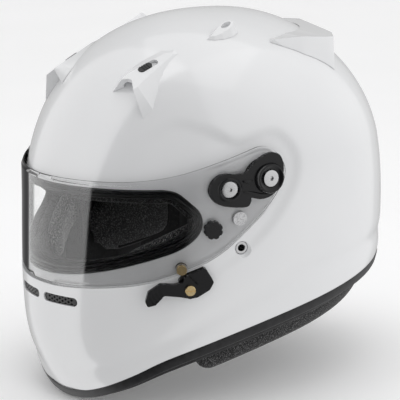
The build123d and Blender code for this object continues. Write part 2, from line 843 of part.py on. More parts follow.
with BuildPart() as top_vent:
    add(hood(top_vent_plane, top_vent_sides, ((-5, -5), (7, 2)), (2.5, top_vent_height), 0.5))
    with BuildSketch(top_vent_plane.offset(top_vent_height - nozzle_depth)):
        with Locations(Location(nozzle_at, nozzle_turn)):
            Ellipse(*nozzle_size)
    extrude(amount=deep, mode=Mode.SUBTRACT)
finish_pair(top_vent, "top_vent")

# Wing across the rear of the crown: level sections along Y, each as
# (place along Y, level in the middle, half width of the crest, level of the crest)
wing_sections = [(-6, 252, 66, 250), (8, 260, 74, 258.5), (30, 266, 79, 259), (54, 267, 80, 257), (104, 262, 72, 254)]
wing_plan = [(0, 99), (61, 77), (88, 55), (84, 27), (70, 0), (53, 24), (38, 51), (0, 62)]
wing_floor = 215.0
wing_flare = 14.0


def wing_section(place, middle_level, crest, crest_level):
    half = [(crest, crest_level), (crest + wing_flare, wing_floor)]
    with BuildSketch(Plane.XZ.offset(-place)) as section:
        with BuildLine():
            Polyline((0, middle_level), *half, *[(-x, level) for x, level in reversed(half)], close=True)
        make_face()
    return section.sketch


with BuildPart() as wing_top:
    loft([wing_section(*values) for values in wing_sections], ruled=True)

with BuildPart() as rear_wing:
    with BuildSketch(Plane.XY.offset(wing_floor)):
        with BuildLine():
            Polyline(*wing_plan)
            mirror(about=Plane.YZ)
        make_face()
    extrude(amount=shell_height - wing_floor)
    add(wing_top.part, mode=Mode.INTERSECT)
    dome(seat_gap, mode=Mode.SUBTRACT)
finish(rear_wing, "rear_wing")

# Chin grilles
with BuildPart() as chin_grille:
    dome(-grille_inset)
    dome(-grille_inset - grille_wall, mode=Mode.SUBTRACT)
    with BuildSketch(Plane.XZ):
        with Locations((chin_slot_middle, chin_slot_level)):
            SlotOverall(chin_slot_length - 2 * seat_gap, chin_slot_width - 2 * seat_gap)
        with Locations((chin_slot_middle, chin_slot_level)):
            with HexLocations(grille_hole_pitch, 9, 2):
                RegularPolygon(grille_hole_radius, 4, mode=Mode.SUBTRACT)
    extrude(amount=half_span, mode=Mode.INTERSECT)
finish_pair(chin_grille, "chin_grille")


# Chin strap, undone: a long left half, a short right half with two rings, and a stud at the top of each.
# The right half and its rings are drawn on the left and mirrored.
strap_face = eps_inner - pad_gap
strap_foot = side_point((strap_y, strap_foot_level), grow=strap_face)
loop_radius = ring_wire + ring_gap + strap_wall
ring_level = strap_low + strap_wall / 2 - loop_radius
ring_places = [strap_short_end + loop_radius, strap_short_end + 3 * loop_radius - strap_wall]
ring_half_width = strap_width / 2 + ring_gap + 2 * ring_wire

with BuildPart() as strap_sheath:
    dome(strap_face)
    dome(strap_face - strap_wall, mode=Mode.SUBTRACT)
    with BuildSketch(Plane.YZ):
        with Locations((strap_y, strap_foot_level)):
            Rectangle(strap_width, stud_level + strap_head - strap_foot_level, align=(Align.CENTER, Align.MIN))
    extrude(amount=half_span, mode=Mode.INTERSECT)
    with BuildSketch(stud_plane.offset(-deep / 6)):
        Circle(stud_radius + running_gap)
    extrude(amount=deep / 3, mode=Mode.SUBTRACT)


def strap_run(end_x):
    # The flat stretch under the chin, as wide as the strap
    with BuildSketch(Plane.XZ.offset(-strap_y - strap_width / 2)) as run:
        with BuildLine():
            FilletPolyline(
                (strap_foot.X - strap_wall / 2, strap_foot_level + 1),
                (strap_foot.X - strap_wall, strap_foot_level - 8),
                (strap_bend_x, strap_low),
                (end_x, strap_low),
                radius=6,
            )
            offset(amount=strap_wall / 2, side=Side.BOTH)
        make_face()
    return run.sketch


with BuildPart() as chin_strap_left:
    add(strap_sheath.part)
    extrude(strap_run(strap_long_end), amount=strap_width)
finish(chin_strap_left, "chin_strap_left")

with BuildPart() as short_strap:
    add(strap_sheath.part)
    extrude(strap_run(strap_short_end), amount=strap_width)
    for x in ring_places:
        with BuildSketch(Plane.XZ.offset(-strap_y - strap_width / 2)):
            with Locations((x, ring_level)):
                Circle(loop_radius)
        extrude(amount=strap_width)
    for x in ring_places:
        with BuildSketch(Plane.XZ.offset(-strap_y - strap_width / 2)):
            with Locations((x, ring_level)):
                Circle(loop_radius - strap_wall)
        extrude(amount=strap_width, mode=Mode.SUBTRACT)

with BuildPart() as chin_strap_right:
    mirror(short_strap.part, about=Plane.YZ)
finish(chin_strap_right, "chin_strap_right")

for number, x in enumerate(ring_places, start=1):
    with BuildPart() as d_ring:
        with BuildLine(Plane.YZ.offset(-x)) as ring_path:
            FilletPolyline(
                (strap_y - ring_half_width, ring_level),
                (strap_y + ring_half_width, ring_level),
                (strap_y + ring_foot_width, ring_level - ring_reach),
                (strap_y - ring_foot_width, ring_level - ring_reach),
                radius=[ring_corner, ring_corner, ring_bow, ring_bow],
                close=True,
            )
        with BuildSketch(Plane(origin=ring_path.line @ 0, z_dir=ring_path.line % 0)):
            Circle(ring_wire)
        sweep()
    finish(d_ring, f"d_ring_{number}")

with BuildPart() as strap_stud:
    with BuildSketch(stud_plane.offset(-pad_gap - strap_wall)):
        Circle(stud_radius)
    extrude(amount=pad_gap + strap_wall + stud_length)
finish_pair(strap_stud, "strap_stud")
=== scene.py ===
import json
import math

import bmesh
import bpy
import numpy as np
from mathutils import Matrix, Vector


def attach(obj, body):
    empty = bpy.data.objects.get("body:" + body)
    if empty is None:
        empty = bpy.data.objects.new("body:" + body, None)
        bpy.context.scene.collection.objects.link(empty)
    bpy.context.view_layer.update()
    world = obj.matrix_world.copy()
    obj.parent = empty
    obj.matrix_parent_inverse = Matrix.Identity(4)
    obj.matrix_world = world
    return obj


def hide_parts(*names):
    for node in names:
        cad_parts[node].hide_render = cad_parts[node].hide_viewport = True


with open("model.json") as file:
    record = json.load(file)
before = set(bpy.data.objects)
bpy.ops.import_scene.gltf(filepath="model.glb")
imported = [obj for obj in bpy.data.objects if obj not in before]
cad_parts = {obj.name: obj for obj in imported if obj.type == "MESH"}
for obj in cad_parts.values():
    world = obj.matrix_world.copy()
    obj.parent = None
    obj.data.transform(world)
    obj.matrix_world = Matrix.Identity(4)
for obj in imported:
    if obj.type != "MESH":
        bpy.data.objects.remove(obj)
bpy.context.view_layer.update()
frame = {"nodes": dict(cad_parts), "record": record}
nodes = frame["nodes"]
print("frame loaded with", len(nodes), "nodes")


def placed(name, data):
    # an object for the data, in the scene
    thing = bpy.data.objects.new(name, data)
    bpy.context.scene.collection.objects.link(thing)
    return thing


# camera, at the photo's own viewing angle

cameraValues = {
    "azimuth": 51.9,
    "elevation": 12.06,
    "roll": -1.29,
    "distance": 1.1363,
    "aim": (0, 0, 0.135),
    "lens": 130.3,
    "shift": (-0.0171, -0.0230),
}


def makeCamera(values):
    around, above, roll = (math.radians(values[k]) for k in ("azimuth", "elevation", "roll"))
    back = Vector((math.sin(around) * math.cos(above), -math.cos(around) * math.cos(above), math.sin(above)))
    level = Vector((math.cos(around), math.sin(around), 0))
    upright = back.cross(level)
    right = level * math.cos(roll) + upright * math.sin(roll)
    up = upright * math.cos(roll) - level * math.sin(roll)
    data = bpy.data.cameras.new("photoCamera")
    data.lens = values["lens"]
    data.shift_x, data.shift_y = values["shift"]
    camera = placed("photoCamera", data)
    turn = Matrix((right, up, back)).transposed().to_4x4()
    camera.matrix_world = Matrix.Translation(Vector(values["aim"]) + back * values["distance"]) @ turn
    bpy.context.scene.camera = camera


makeCamera(cameraValues)
print("camera placed")


# node helpers; owner is a material or the world

def addNode(owner, kind, inputs=None, **settings):
    node = owner.node_tree.nodes.new(kind)
    for key, value in settings.items():
        setattr(node, key, value)
    for key, value in (inputs or {}).items():
        if isinstance(value, bpy.types.NodeSocket):
            owner.node_tree.links.new(value, node.inputs[key])
        else:
            node.inputs[key].default_value = value
    return node


def link(owner, output, node, socket):
    owner.node_tree.links.new(output, node.inputs[socket])


def ramp(owner, field, stops):
    node = addNode(owner, "ShaderNodeValToRGB", {"Fac": field})
    while len(node.color_ramp.elements) < len(stops):
        node.color_ramp.elements.new(0.5)
    for element, (at, colour) in zip(node.color_ramp.elements, stops):
        element.position = at
        element.color = (*colour, 1)
    return node.outputs["Color"]


def grey(level):
    return level, level, level


def newMaterial(name, colour, roughness, **sockets):
    material = bpy.data.materials.new(name)
    material.use_nodes = True
    shader = material.node_tree.nodes["Principled BSDF"]
    shader.inputs["Base Color"].default_value = (*colour, 1)
    shader.inputs["Roughness"].default_value = roughness
    for key, value in sockets.items():
        shader.inputs[key.replace("_", " ")].default_value = value
    return material, shader


# patterns for the finishes, each a node, its output, its inputs and its settings

def noise(scale, detail, rough=0.5):
    return "ShaderNodeTexNoise", "Fac", {"Scale": scale, "Detail": detail, "Roughness": rough}, {}


def cells(scale):
    return "ShaderNodeTexVoronoi", "Distance", {"Scale": scale}, {}


def weave(scale):
    return "ShaderNodeTexWave", "Fac", {"Scale": scale, "Distortion": 0.4}, {"bands_direction": "DIAGONAL"}


def fieldOf(material, pattern):
    # the pattern laid over a piece in the piece's own coordinates
    kind, output, inputs, settings = pattern
    place = addNode(material, "ShaderNodeTexCoord").outputs["Object"]
    return addNode(material, kind, {"Vector": place, **inputs}, **settings).outputs[output]


def makeFinish(name, colour, roughness, spread, grain, **sockets):
    # spread is a socket, a pattern and the tones along it
    # grain is a bump's strength, its depth in metres, and its pattern where that isn't the first one
    material, shader = newMaterial(name, colour, roughness, **sockets)
    socket, pattern, tones = spread
    field = fieldOf(material, pattern)
    link(material, ramp(material, field, tones), shader, socket)
    strength, depth, *own = grain
    height = fieldOf(material, own[0]) if own else field
    bump = addNode(material, "ShaderNodeBump", {"Height": height, "Strength": strength, "Distance": depth})
    link(material, bump.outputs["Normal"], shader, "Normal")
    return material


def knit(name, dark, light, sheen):
    # brushed cloth: dark between the loops and light on their tips
    return {
        "name": name,
        "colour": dark,
        "roughness": 0.92,
        "spread": ("Base Color", noise(1100, 2, 0.7), [(0.5, dark), (0.68, light)]),
        "grain": (0.6, 0.0005),
        "Sheen_Weight": sheen,
        "Sheen_Roughness": 0.5,
    }


looks = {
    "shell_paint": {
        "name": "whitePaint",
        "colour": (0.86, 0.865, 0.875),
        "roughness": 0.32,
        "spread": ("Base Color", noise(9, 4), [(0.3, (0.82, 0.825, 0.84)), (0.7, (0.86, 0.865, 0.875))]),
        "grain": (0.15, 0.00002, noise(900, 2)),
        "Coat_Weight": 1.0,
        "Coat_Roughness": 0.11,
        "Coat_IOR": 1.55,
    },
    "black_rubber": {
        "name": "blackRubber",
        "colour": (0.012, 0.012, 0.013),
        "roughness": 0.42,
        "spread": (
            "Base Color", noise(220, 4), [(0.3, (0.008, 0.008, 0.009)), (0.75, (0.022, 0.022, 0.024))]
        ),
        "grain": (0.2, 0.0001, noise(1400, 3)),
        "Specular_IOR_Level": 0.45,
    },
    "eps_foam": {
        "name": "foamBeads",
        "colour": (0.02, 0.02, 0.022),
        "roughness": 0.8,
        "spread": ("Base Color", cells(320), [(0.0, (0.02, 0.02, 0.021)), (0.7, (0.006, 0.006, 0.0065))]),
        "grain": (-0.3, 0.0004),
    },
    "pad_fabric": knit("brushedKnit", (0.004, 0.004, 0.0045), (0.16, 0.16, 0.163), 0.12),
    "hinge_plastic": {
        "name": "blackPlastic",
        "colour": (0.008, 0.008, 0.009),
        "roughness": 0.3,
        "spread": ("Roughness", noise(60, 3), [(0.3, grey(0.14)), (0.7, grey(0.28))]),
        "grain": (0.12, 0.00006, noise(2500, 2)),
        "Specular_IOR_Level": 0.42,
    },
    "disc_plastic": {
        "name": "greyDisc",
        "colour": (0.7, 0.7, 0.71),
        "roughness": 0.5,
        "spread": ("Base Color", cells(900), [(0.1, (0.34, 0.34, 0.35)), (0.6, (0.66, 0.66, 0.67))]),
        "grain": (0.6, 0.0002),
    },
    "screw_steel": {
        "name": "turnedSteel",
        "colour": (0.78, 0.78, 0.79),
        "roughness": 0.24,
        "spread": ("Roughness", noise(700, 4), [(0.3, grey(0.18)), (0.8, grey(0.34))]),
        "grain": (0.1, 0.00004, noise(3000, 2)),
        "Metallic": 1.0,
        "Anisotropic": 0.6,
    },
    "brass": {
        "name": "turnedBrass",
        "colour": (1.0, 0.78, 0.42),
        "roughness": 0.22,
        "spread": ("Base Color", noise(900, 4), [(0.3, (0.95, 0.68, 0.33)), (0.7, (1.0, 0.82, 0.48))]),
        "grain": (0.1, 0.00004, noise(3000, 2)),
        "Metallic": 1.0,
    },
    "strap_webbing": {
        "name": "wovenWebbing",
        "colour": (0.014, 0.014, 0.015),
        "roughness": 0.75,
        "spread": ("Base Color", weave(500), [(0.2, (0.008, 0.008, 0.009)), (0.8, (0.035, 0.035, 0.037))]),
        "grain": (0.5, 0.0003),
        "Sheen_Weight": 0.3,
    },
}
# tones of the clear sheet, with painted shade that darkens it where it is seen edge on
sheetLook = {
    "paintedEdgeShadeAt": (0.66, 0.70),  # from face on at 0 to edge on at 1
    "shades": {
        "Base Color": ((0.997, 0.998, 1.0), (0.006, 0.006, 0.007)),
        "Transmission Weight": (grey(1.0), grey(0.0)),
        "Specular IOR Level": (grey(0.75), grey(0.02)),
    },
}


def clearMaterial(look):
    # clear where the sheet is seen face on, with painted shade where it is seen edge on: its colour, the light
    # through it and its gloss all turn dark there
    material, shader = newMaterial("clearSheet", look["shades"]["Base Color"][0], 0.01, IOR=1.5)
    facing = addNode(material, "ShaderNodeLayerWeight", {"Blend": 0.5}).outputs["Facing"]
    for socket, shades in look["shades"].items():
        link(material, ramp(material, facing, list(zip(look["paintedEdgeShadeAt"], shades))), shader, socket)
    smears = ramp(material, fieldOf(material, noise(40, 3)), [(0.2, grey(0.0)), (0.9, grey(0.03))])
    link(material, smears, shader, "Roughness")
    return material


finishes = {slotName: makeFinish(**look) for slotName, look in looks.items()}
finishes["visor_clear"] = clearMaterial(sheetLook)
# a darker copy of the cloth: painted shade for padding that sits deep inside the shell
paintedShadeKnit = makeFinish(**knit("paintedShadeKnit", (0.002, 0.002, 0.0022), (0.012, 0.012, 0.013), 0.02))
# a lighter copy of the cloth: painted light for the lips along the lower edge of the port
paintedLightKnit = makeFinish(**knit("paintedLightKnit", (0.012, 0.012, 0.013), (0.55, 0.55, 0.54), 0.3))


def dressNodes():
    for entry in frame["record"]["subparts"]:
        piece = nodes[entry["node"]]
        piece.data.materials.clear()
        piece.data.materials.append(finishes[entry["material_slot"]])


dressNodes()
print("finishes set on", len(nodes), "nodes")


# shapes are worked out in millimetres from the shell's own curves, then scaled to metres

mm = 0.001

# for side, front and back: half size at the foot, the most, the level of the most, and how square it is above
shellShape = {
    "height": 278.8,
    "side": (101.3, 124.65, 178.0, 1.83),
    "front": (136.2, 155.3, 63.6, 2.4),
    "back": (78.9, 147.6, 108.7, 2.38),
    "wall": 4.5,
    "edge": [(-160, -16), (-141, 8), (-121, 27.5), (-97, 43), (-48, 59.5), (14, 72), (96, 82), (170, 87)],
    "edgeLean": 0.5,
    "edgeDrop": 3.5,
    "columns": 320,
    "lowRows": 84,
    "highRows": 70,
}

visorShape = {
    "wall": 2.2,
    "gap": 0.45,
    "sink": 0.8,
    "flare": 6.0,
    "flareStart": 140.0,
    "flareEnd": 192.0,
    "front": 152.4,
    "frontLevel": 88.0,
    "lean": 0.0805,
    "corners": [
        (-190, 168.5), (-112, 169.5), (-42, 195), (-24, 172),
        (-40, 147), (-75, 115), (-115, 98.5), (-190, 86),
    ],
    "radii": [140, 14, 17, 60, 80, 120],
    "pivot": (-43.0, 170.0),
    "hole": 5.06,
    "boreReach": (100, 150),
    "edgeBand": (1.43, 2.6),  # from thin to full, in mm from the edge
    "edgeStep": 1.0,
    "grid": (261, 26),
    "bedMargin": 1.6,
    "bedHeight": 24.0,
    "bedGrid": (161, 24),
    "arc": (124, 146),  # half sizes that turns are measured along
}

portShape = {
    "corners": [(-190, 163.9), (-100, 164.5), (-77, 141), (-94, 121.8), (-190, 82.8)],
    "radii": [14, 17, 40],
    "reach": (-170, 170),
}


def halfSize(level, size, grow=0.0):
    # a parabola below the widest level and a rounded arch above it
    low, most, widest, power = size
    below = most - (most - low) * ((widest - level) / widest) ** 2 + grow
    rise = np.clip((level - widest) / (shellShape["height"] + grow - widest), 0, 1)
    above = (most + grow) * (1 - rise**power) ** (1 / power)
    return np.where(level < widest, below, above)


def shellPoint(turn, level, grow=0.0):
    # turn is 0 at the front and grows towards the left side
    turn, level = np.broadcast_arrays(np.asarray(turn, float), np.asarray(level, float))
    front, back, side = (halfSize(level, shellShape[key], grow) for key in ("front", "back", "side"))
    along = np.where(np.cos(turn) > 0, front, back)
    return np.stack([side * np.sin(turn), -along * np.cos(turn), level], -1)


def visorReach(level, grow=0.0):
    # how far forward the visor stands at a level
    return visorShape["front"] - visorShape["lean"] * (level - visorShape["frontLevel"]) + grow


def visorPoint(turn, level, grow=0.0):
    turn, level = np.broadcast_arrays(np.asarray(turn, float), np.asarray(level, float))
    v = visorShape
    rise = np.clip((level - v["flareStart"]) / (v["flareEnd"] - v["flareStart"]), 0, None)
    side = halfSize(level, shellShape["side"]) - v["sink"] + v["flare"] * rise**1.5 + grow
    return np.stack([side * np.sin(turn), -visorReach(level, grow) * np.cos(turn), level], -1)


def smoothStep(low, high, value):
    share = np.clip((value - low) / (high - low), 0, 1)
    return share * share * (3 - 2 * share)


def roundedEnd(share):
    # a quarter circle, from nearly nothing at 0 to full size at 1
    return np.sqrt(1 - (1 - np.clip(share, 0.02, 1)) ** 2)


def unit(ways):
    return ways / np.linalg.norm(ways, axis=-1, keepdims=True)


def circle(count):
    return np.linspace(0, 2 * math.pi, count, endpoint=False)


def smoothLine(points, count=16):
    # a line through all the points, evenly divided between each two
    p = np.array(points, float)
    ends = np.vstack([2 * p[0] - p[1], p, 2 * p[-1] - p[-2]])
    out = []
    for a, b, c, d in zip(ends, ends[1:], ends[2:], ends[3:]):
        for t in np.linspace(0, 1, count, endpoint=False):
            bend = (2 * a - 5 * b + 4 * c - d) * t**2 + (3 * b - a - 3 * c + d) * t**3
            out.append(0.5 * (2 * b + (c - a) * t + bend))
    out.append(p[-1])
    return np.array(out)


def roundedLine(corners, radii, steps=10):
    # straight runs joined by arcs, as a list of points
    points = [np.array(corners[0], float)]
    for before, corner, after, radius in zip(corners, corners[1:], corners[2:], radii):
        corner = np.array(corner, float)
        a, b = unit(before - corner), unit(after - corner)
        half = math.acos(np.clip(a @ b, -1, 1)) / 2
        middle = corner + unit(a + b) * radius / math.sin(half)
        first = corner + a * radius / math.tan(half) - middle
        last = corner + b * radius / math.tan(half) - middle
        sweep = math.acos(np.clip(first @ last / radius**2, -1, 1))
        for t in np.linspace(0, 1, steps):
            spoke = (math.sin((1 - t) * sweep) * first + math.sin(t * sweep) * last) / math.sin(sweep)
            points.append(middle + spoke)
    points.append(np.array(corners[-1], float))
    return np.array(points)


def denseLine(points, step):
    # the same line with its points no further apart than about one step
    out = [points[0]]
    for a, b in zip(points, points[1:]):
        count = max(1, int(np.linalg.norm(b - a) / step))
        out.extend(a + (b - a) * t for t in np.linspace(0, 1, count + 1)[1:])
    return np.array(out)


edgeLine = smoothLine(shellShape["edge"])


def levelWhere(turn, grow, first, rounds, wantedAt):
    # level at which a grown shell surface meets a line that gives a level for each y, closer with each round
    level = np.full_like(np.asarray(turn, float), first)
    for _ in range(rounds):
        level = level + 0.6 * (wantedAt(shellPoint(turn, level, grow)[..., 1]) - level)
    return level


def edgeLevel(turn, drop, grow=0.0):
    # level of the bottom edge, lowered by drop, at a turn round the shell
    def wantedAt(y):
        return np.interp(y - shellShape["edgeLean"] * drop, edgeLine[:, 0], edgeLine[:, 1]) - drop

    return levelWhere(turn, grow, 60.0, 30, wantedAt)


def developed(shape, step=1.2):
    # a side view outline carried onto the visor's surface as (turn, level), from front top to front bottom
    line = denseLine(roundedLine(shape["corners"], shape["radii"]), step)
    share = -line[:, 0] / visorReach(line[:, 1])
    inside = share < 1
    line, turn = line[inside], np.arccos(share[inside])
    early = len(turn) // 3
    top = [0.0, np.interp(0, turn[:early], line[:early, 1])]
    low = [0.0, line[-1, 1]]
    return np.vstack([top, np.column_stack([turn, line[:, 1]]), low])


def arcPerTurn(turn):
    # millimetres along the visor for each radian of turn
    side, front = visorShape["arc"]
    return np.hypot(side * np.cos(turn), front * np.sin(turn))


def grownOutline(outline, amount):
    # the outline moved outwards along the surface
    scale = np.column_stack([arcPerTurn(outline[:, 0]), np.ones(len(outline))])
    flat = outline * scale
    slope = unit(np.gradient(flat, axis=0))
    out = np.column_stack([-slope[:, 1], slope[:, 0]])
    moved = (flat + amount * out) / scale
    moved[0, 0] = moved[-1, 0] = 0
    return moved


def panelGrid(outline, columns, rows, edgeRows=(0.0, 0.5, 1.1, 1.8, 2.6, 3.6), mostShare=0.42):
    # turns and levels of a grid that fills an outline on both sides of the front
    # the rows next to its edges stand edgeRows away from them, within mostShare of its height
    rear = int(np.argmax(outline[:, 0]))
    top, low = outline[: rear + 1], outline[rear:][::-1]
    turn = np.sin(np.linspace(-math.pi / 2, math.pi / 2, columns)) * outline[:, 0].max()
    high = np.interp(np.abs(turn), top[:, 0], top[:, 1])
    bottom = np.interp(np.abs(turn), low[:, 0], low[:, 1])
    tall = (high - bottom)[:, None]
    ends = np.array(edgeRows)[None]
    offsets = np.minimum(ends, tall * mostShare * ends / ends[0, -1])
    last = offsets[:, -1:]
    middle = last + (tall - 2 * last) * np.linspace(0, 1, rows)[None, 1:-1]
    level = bottom[:, None] + np.hstack([offsets, middle, (tall - offsets)[:, ::-1]])
    return np.repeat(turn[:, None], level.shape[1], 1), level


def edgeDistance(turn, level, outline, batch=64):
    # distance along the surface from each grid point to the outline, a batch of its points at a time
    line = denseLine(np.column_stack([outline[:, 0] * arcPerTurn(outline[:, 0]), outline[:, 1]])[1:-1], 0.8)
    spots = np.column_stack([(np.abs(turn) * arcPerTurn(turn)).ravel(), level.ravel()])
    best = np.full(len(spots), 1e9)
    for start in range(0, len(line), batch):
        away = spots[:, None, :] - line[None, start : start + batch]
        best = np.minimum(best, np.hypot(away[..., 0], away[..., 1]).min(1))
    return best.reshape(turn.shape)


def meshObject(name, points, faces, smoothAngle=35, merge=0.0):
    mesh = bpy.data.meshes.new(name)
    mesh.from_pydata((np.asarray(points, float).reshape(-1, 3) * mm).tolist(), [], faces)
    piece = placed(name, mesh)
    edit = bmesh.new()
    edit.from_mesh(mesh)
    if merge:
        bmesh.ops.remove_doubles(edit, verts=edit.verts, dist=merge * mm)
        bmesh.ops.dissolve_degenerate(edit, dist=merge * mm, edges=edit.edges)
    bmesh.ops.recalc_face_normals(edit, faces=edit.faces)
    edit.to_mesh(mesh)
    edit.free()
    smoothed(piece, smoothAngle)
    return piece


def smoothed(piece, angle=35):
    piece.data.shade_smooth()
    piece.data.set_sharp_from_angle(angle=math.radians(angle))


def quads(rows, columns, first=0, wrapRows=False, wrapColumns=False, flip=False):
    out = []
    for r in range(rows if wrapRows else rows - 1):
        for c in range(columns if wrapColumns else columns - 1):
            here, there = first + r * columns, first + (r + 1) % rows * columns
            face = [here + c, here + (c + 1) % columns, there + (c + 1) % columns, there + c]
            out.append(face[::-1] if flip else face)
    return out


def plateFromGrids(name, outer, inner, dome=False, smoothAngle=35):
    # a closed piece between two grids of the same size; a dome goes all round and comes together at its top
    rows, columns = outer.shape[:2]
    count = rows * columns
    faces = quads(rows, columns, 0, dome) + quads(rows, columns, count, dome, flip=True)
    rim = [r * columns for r in range(rows)]
    if dome:
        edges = [rim + rim[:1]]
    else:
        far = [start + columns - 1 for start in rim]
        edges = [rim, far, list(range(columns)), list(range(count - columns, count))]
    for line in edges:
        faces += [[a, b, b + count, a + count] for a, b in zip(line, line[1:])]
    points = np.concatenate([outer.reshape(-1, 3), inner.reshape(-1, 3)])
    return meshObject(name, points, faces, smoothAngle, 0.02)


def tubeFromLines(name, lines, closed, smoothAngle=35, merge=0.0):
    # a swept piece, one line for each point of its profile, with flat ends unless the sweep is closed
    rings = np.array(lines, float).transpose(1, 0, 2)
    count, size = rings.shape[:2]
    faces = quads(count, size, 0, wrapRows=closed, wrapColumns=True)
    if not closed:
        faces += [list(range(size))[::-1], list(range((count - 1) * size, count * size))]
    return meshObject(name, rings, faces, smoothAngle, merge)


def prism(name, outline, axis, start, end):
    # an outline carried straight along X or Y
    lines = [[(at, a, b) if axis == "X" else (a, at, b) for at in (start, end)] for a, b in outline]
    return tubeFromLines(name, lines, False)


def spokes(way, sides):
    # directions all round an axis
    level = unit(np.cross(way, (0, 0, 1)))
    turn = circle(sides)[:, None]
    return np.cos(turn) * level + np.sin(turn) * np.cross(way, level)


def coneAlong(name, start, end, radii, sides=48):
    # a straight round piece between two points, one ring for each share of the way and its radius
    start, end = np.array(start, float), np.array(end, float)
    wheel = spokes(unit(end - start), sides)
    rings = [start + (end - start) * share + radius * wheel for share, radius in radii]
    return tubeFromLines(name, np.array(rings).transpose(1, 0, 2), False)


def turned(name, profile, place, out, sides=64):
    # a round piece about an axis, its profile given as radii and heights
    wheel = spokes(out, sides)
    lines = [place + out * height + max(radius, 0.01) * wheel for radius, height in profile]
    return tubeFromLines(name, lines, True, merge=0.015)


def beadAlong(name, line, out, across, radius, sides, closed):
    # a round bead on a line, with two directions square to it
    lines = [line + radius * (math.cos(t) * out + math.sin(t) * across) for t in circle(sides)]
    return tubeFromLines(name, lines, closed, 60)


def joinedInto(name, pieces):
    # several meshes as one piece
    edit = bmesh.new()
    for piece in pieces:
        edit.from_mesh(piece.data)
        bpy.data.objects.remove(piece)
    mesh = bpy.data.meshes.new(name)
    edit.to_mesh(mesh)
    edit.free()
    whole = placed(name, mesh)
    smoothed(whole, 40)
    return whole


def copyOf(piece, name, matrix):
    mesh = piece.data.copy()
    mesh.transform(matrix)
    if matrix.determinant() < 0:
        mesh.flip_normals()
    return placed(name, mesh)


def dress(piece, body, slot, *stands, finish=None):
    # stands names the nodes that the piece replaces
    piece.data.materials.clear()
    piece.data.materials.append(finish or finishes[slot])
    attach(piece, body)
    if stands:
        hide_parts(*stands)


def addModifier(piece, kind, **settings):
    modifier = piece.modifiers.new(kind.lower(), kind)
    for key, value in settings.items():
        setattr(modifier, key, value)
    return modifier


def addWeld(piece):
    addModifier(piece, "WELD", merge_threshold=0.01 * mm)


def addBevel(piece, width, angle, segments):
    limit = {"limit_method": "ANGLE", "angle_limit": math.radians(angle)}
    addModifier(piece, "BEVEL", width=width * mm, segments=segments, **limit)


def applyModifiers(piece):
    bpy.context.view_layer.objects.active = piece
    for modifier in list(piece.modifiers):
        bpy.ops.object.modifier_apply(modifier=modifier.name)


def cutWith(piece, cutters, operation="DIFFERENCE"):
    for cutter in cutters:
        addModifier(piece, "BOOLEAN", operation=operation, solver="MANIFOLD", object=cutter)
        applyModifiers(piece)
        bpy.data.objects.remove(cutter)


# shell: a smooth surface with soft forms, cut by the eye port, the visor's bed and the holes

softForms = {
    "pod": [
        (-116, 176), (-112, 189), (-104, 199), (-90, 207), (-76, 203), (-60, 194.5), (-47, 197), (-32, 199),
        (-22, 191), (-17, 178), (-19, 164), (-28, 148), (-42, 131), (-62, 113), (-84, 99),
    ],
    "podFoot": [(-110, 92), (-150, 92), (-150, 172)],
    "podFade": ((-118, -62), (92, 132)),
    "podSoftness": 5.0,
    "podDepth": 0.9,
    "podBulge": 1.7,
    "podSpread": 26.0,
    "hollowFade": ((-118, -100), (92, 120)),
    "skirt": [
        (-150, 24), (-137, 31), (-108, 50), (-85, 64), (-58, 77),
        (-27, 90), (-9, 94), (22, 96), (60, 98), (110, 101),
    ],
    "skirtGroove": 1.1,
    "skirtWidth": 7.0,
    "skirtStep": 0.9,
    "skirtFall": (4, -16),
    "skirtFade": (10, 30),
}
anchorShape = {  # rings are shares of the way outwards and radii
    "place": (112.978, -58, 119.5),
    "out": (0.948261, -0.311299, -0.062407),
    "rings": [(0, 4.8), (0.73, 4.8), (0.88, 6.6), (1, 8.1)],
    "reach": (-12, 2),
}
chinSlotShape = {"level": 81.0, "middle": 19.5, "length": 33.0, "width": 6.4, "run": (-180, -100)}
hingeBoreRadius = 13.3
# room under each brow slider for its whole run: three directions of the left one and the range along each
sliderRoom = {
    "along": ((0.10161, 0.91484, 0.39083), (12.3, 28.9)),
    "up": ((0.42228, -0.39538, 0.81569), (252.9, 259.0)),
    "across": ((0.90075, 0.08216, -0.42649), (-72.05, -65.85)),
}


def signedDistance(y, z, polygon):
    # distance in the side view, negative inside the polygon
    line = np.array(polygon, float)
    a, b = line, np.roll(line, -1, 0)
    best = np.full(y.shape, 1e9)
    inside = np.zeros(y.shape, bool)
    for (ay, az), (by, bz) in zip(a, b):
        run = np.clip(((y - ay) * (by - ay) + (z - az) * (bz - az)) / ((by - ay) ** 2 + (bz - az) ** 2), 0, 1)
        best = np.minimum(best, np.hypot(y - ay - run * (by - ay), z - az - run * (bz - az)))
        crosses = (az > z) != (bz > z)
        with np.errstate(divide="ignore", invalid="ignore"):
            inside ^= crosses & (y < (by - ay) * (z - az) / (bz - az) + ay)
    return np.where(inside, -best, best)


def softRise(points):
    # how far the shell's outer face stands above or below its plain curve
    f = softForms
    x, y, z = (points[..., i] for i in range(3))

    def fade(ranges):
        back, up = ranges
        return smoothStep(*back, y) * smoothStep(*up, z)

    away = signedDistance(y, z, np.vstack([smoothLine(f["pod"], 6), f["podFoot"]]))
    step = smoothStep(-f["podSoftness"] * 0.5, f["podSoftness"], away)
    bulge = f["podBulge"] * step * np.exp(-np.clip(away, 0, None) ** 2 / (2 * f["podSpread"] ** 2))
    rise = fade(f["podFade"]) * bulge - fade(f["hollowFade"]) * f["podDepth"] * (1 - step)
    skirt = smoothLine(f["skirt"], 8)
    under = z - np.interp(y, skirt[:, 0], skirt[:, 1])
    groove = f["skirtGroove"] * np.exp(-((under / f["skirtWidth"]) ** 2))
    fall = f["skirtStep"] * smoothStep(*f["skirtFall"], under)
    return rise + (fall - groove) * smoothStep(*f["skirtFade"], np.abs(x))


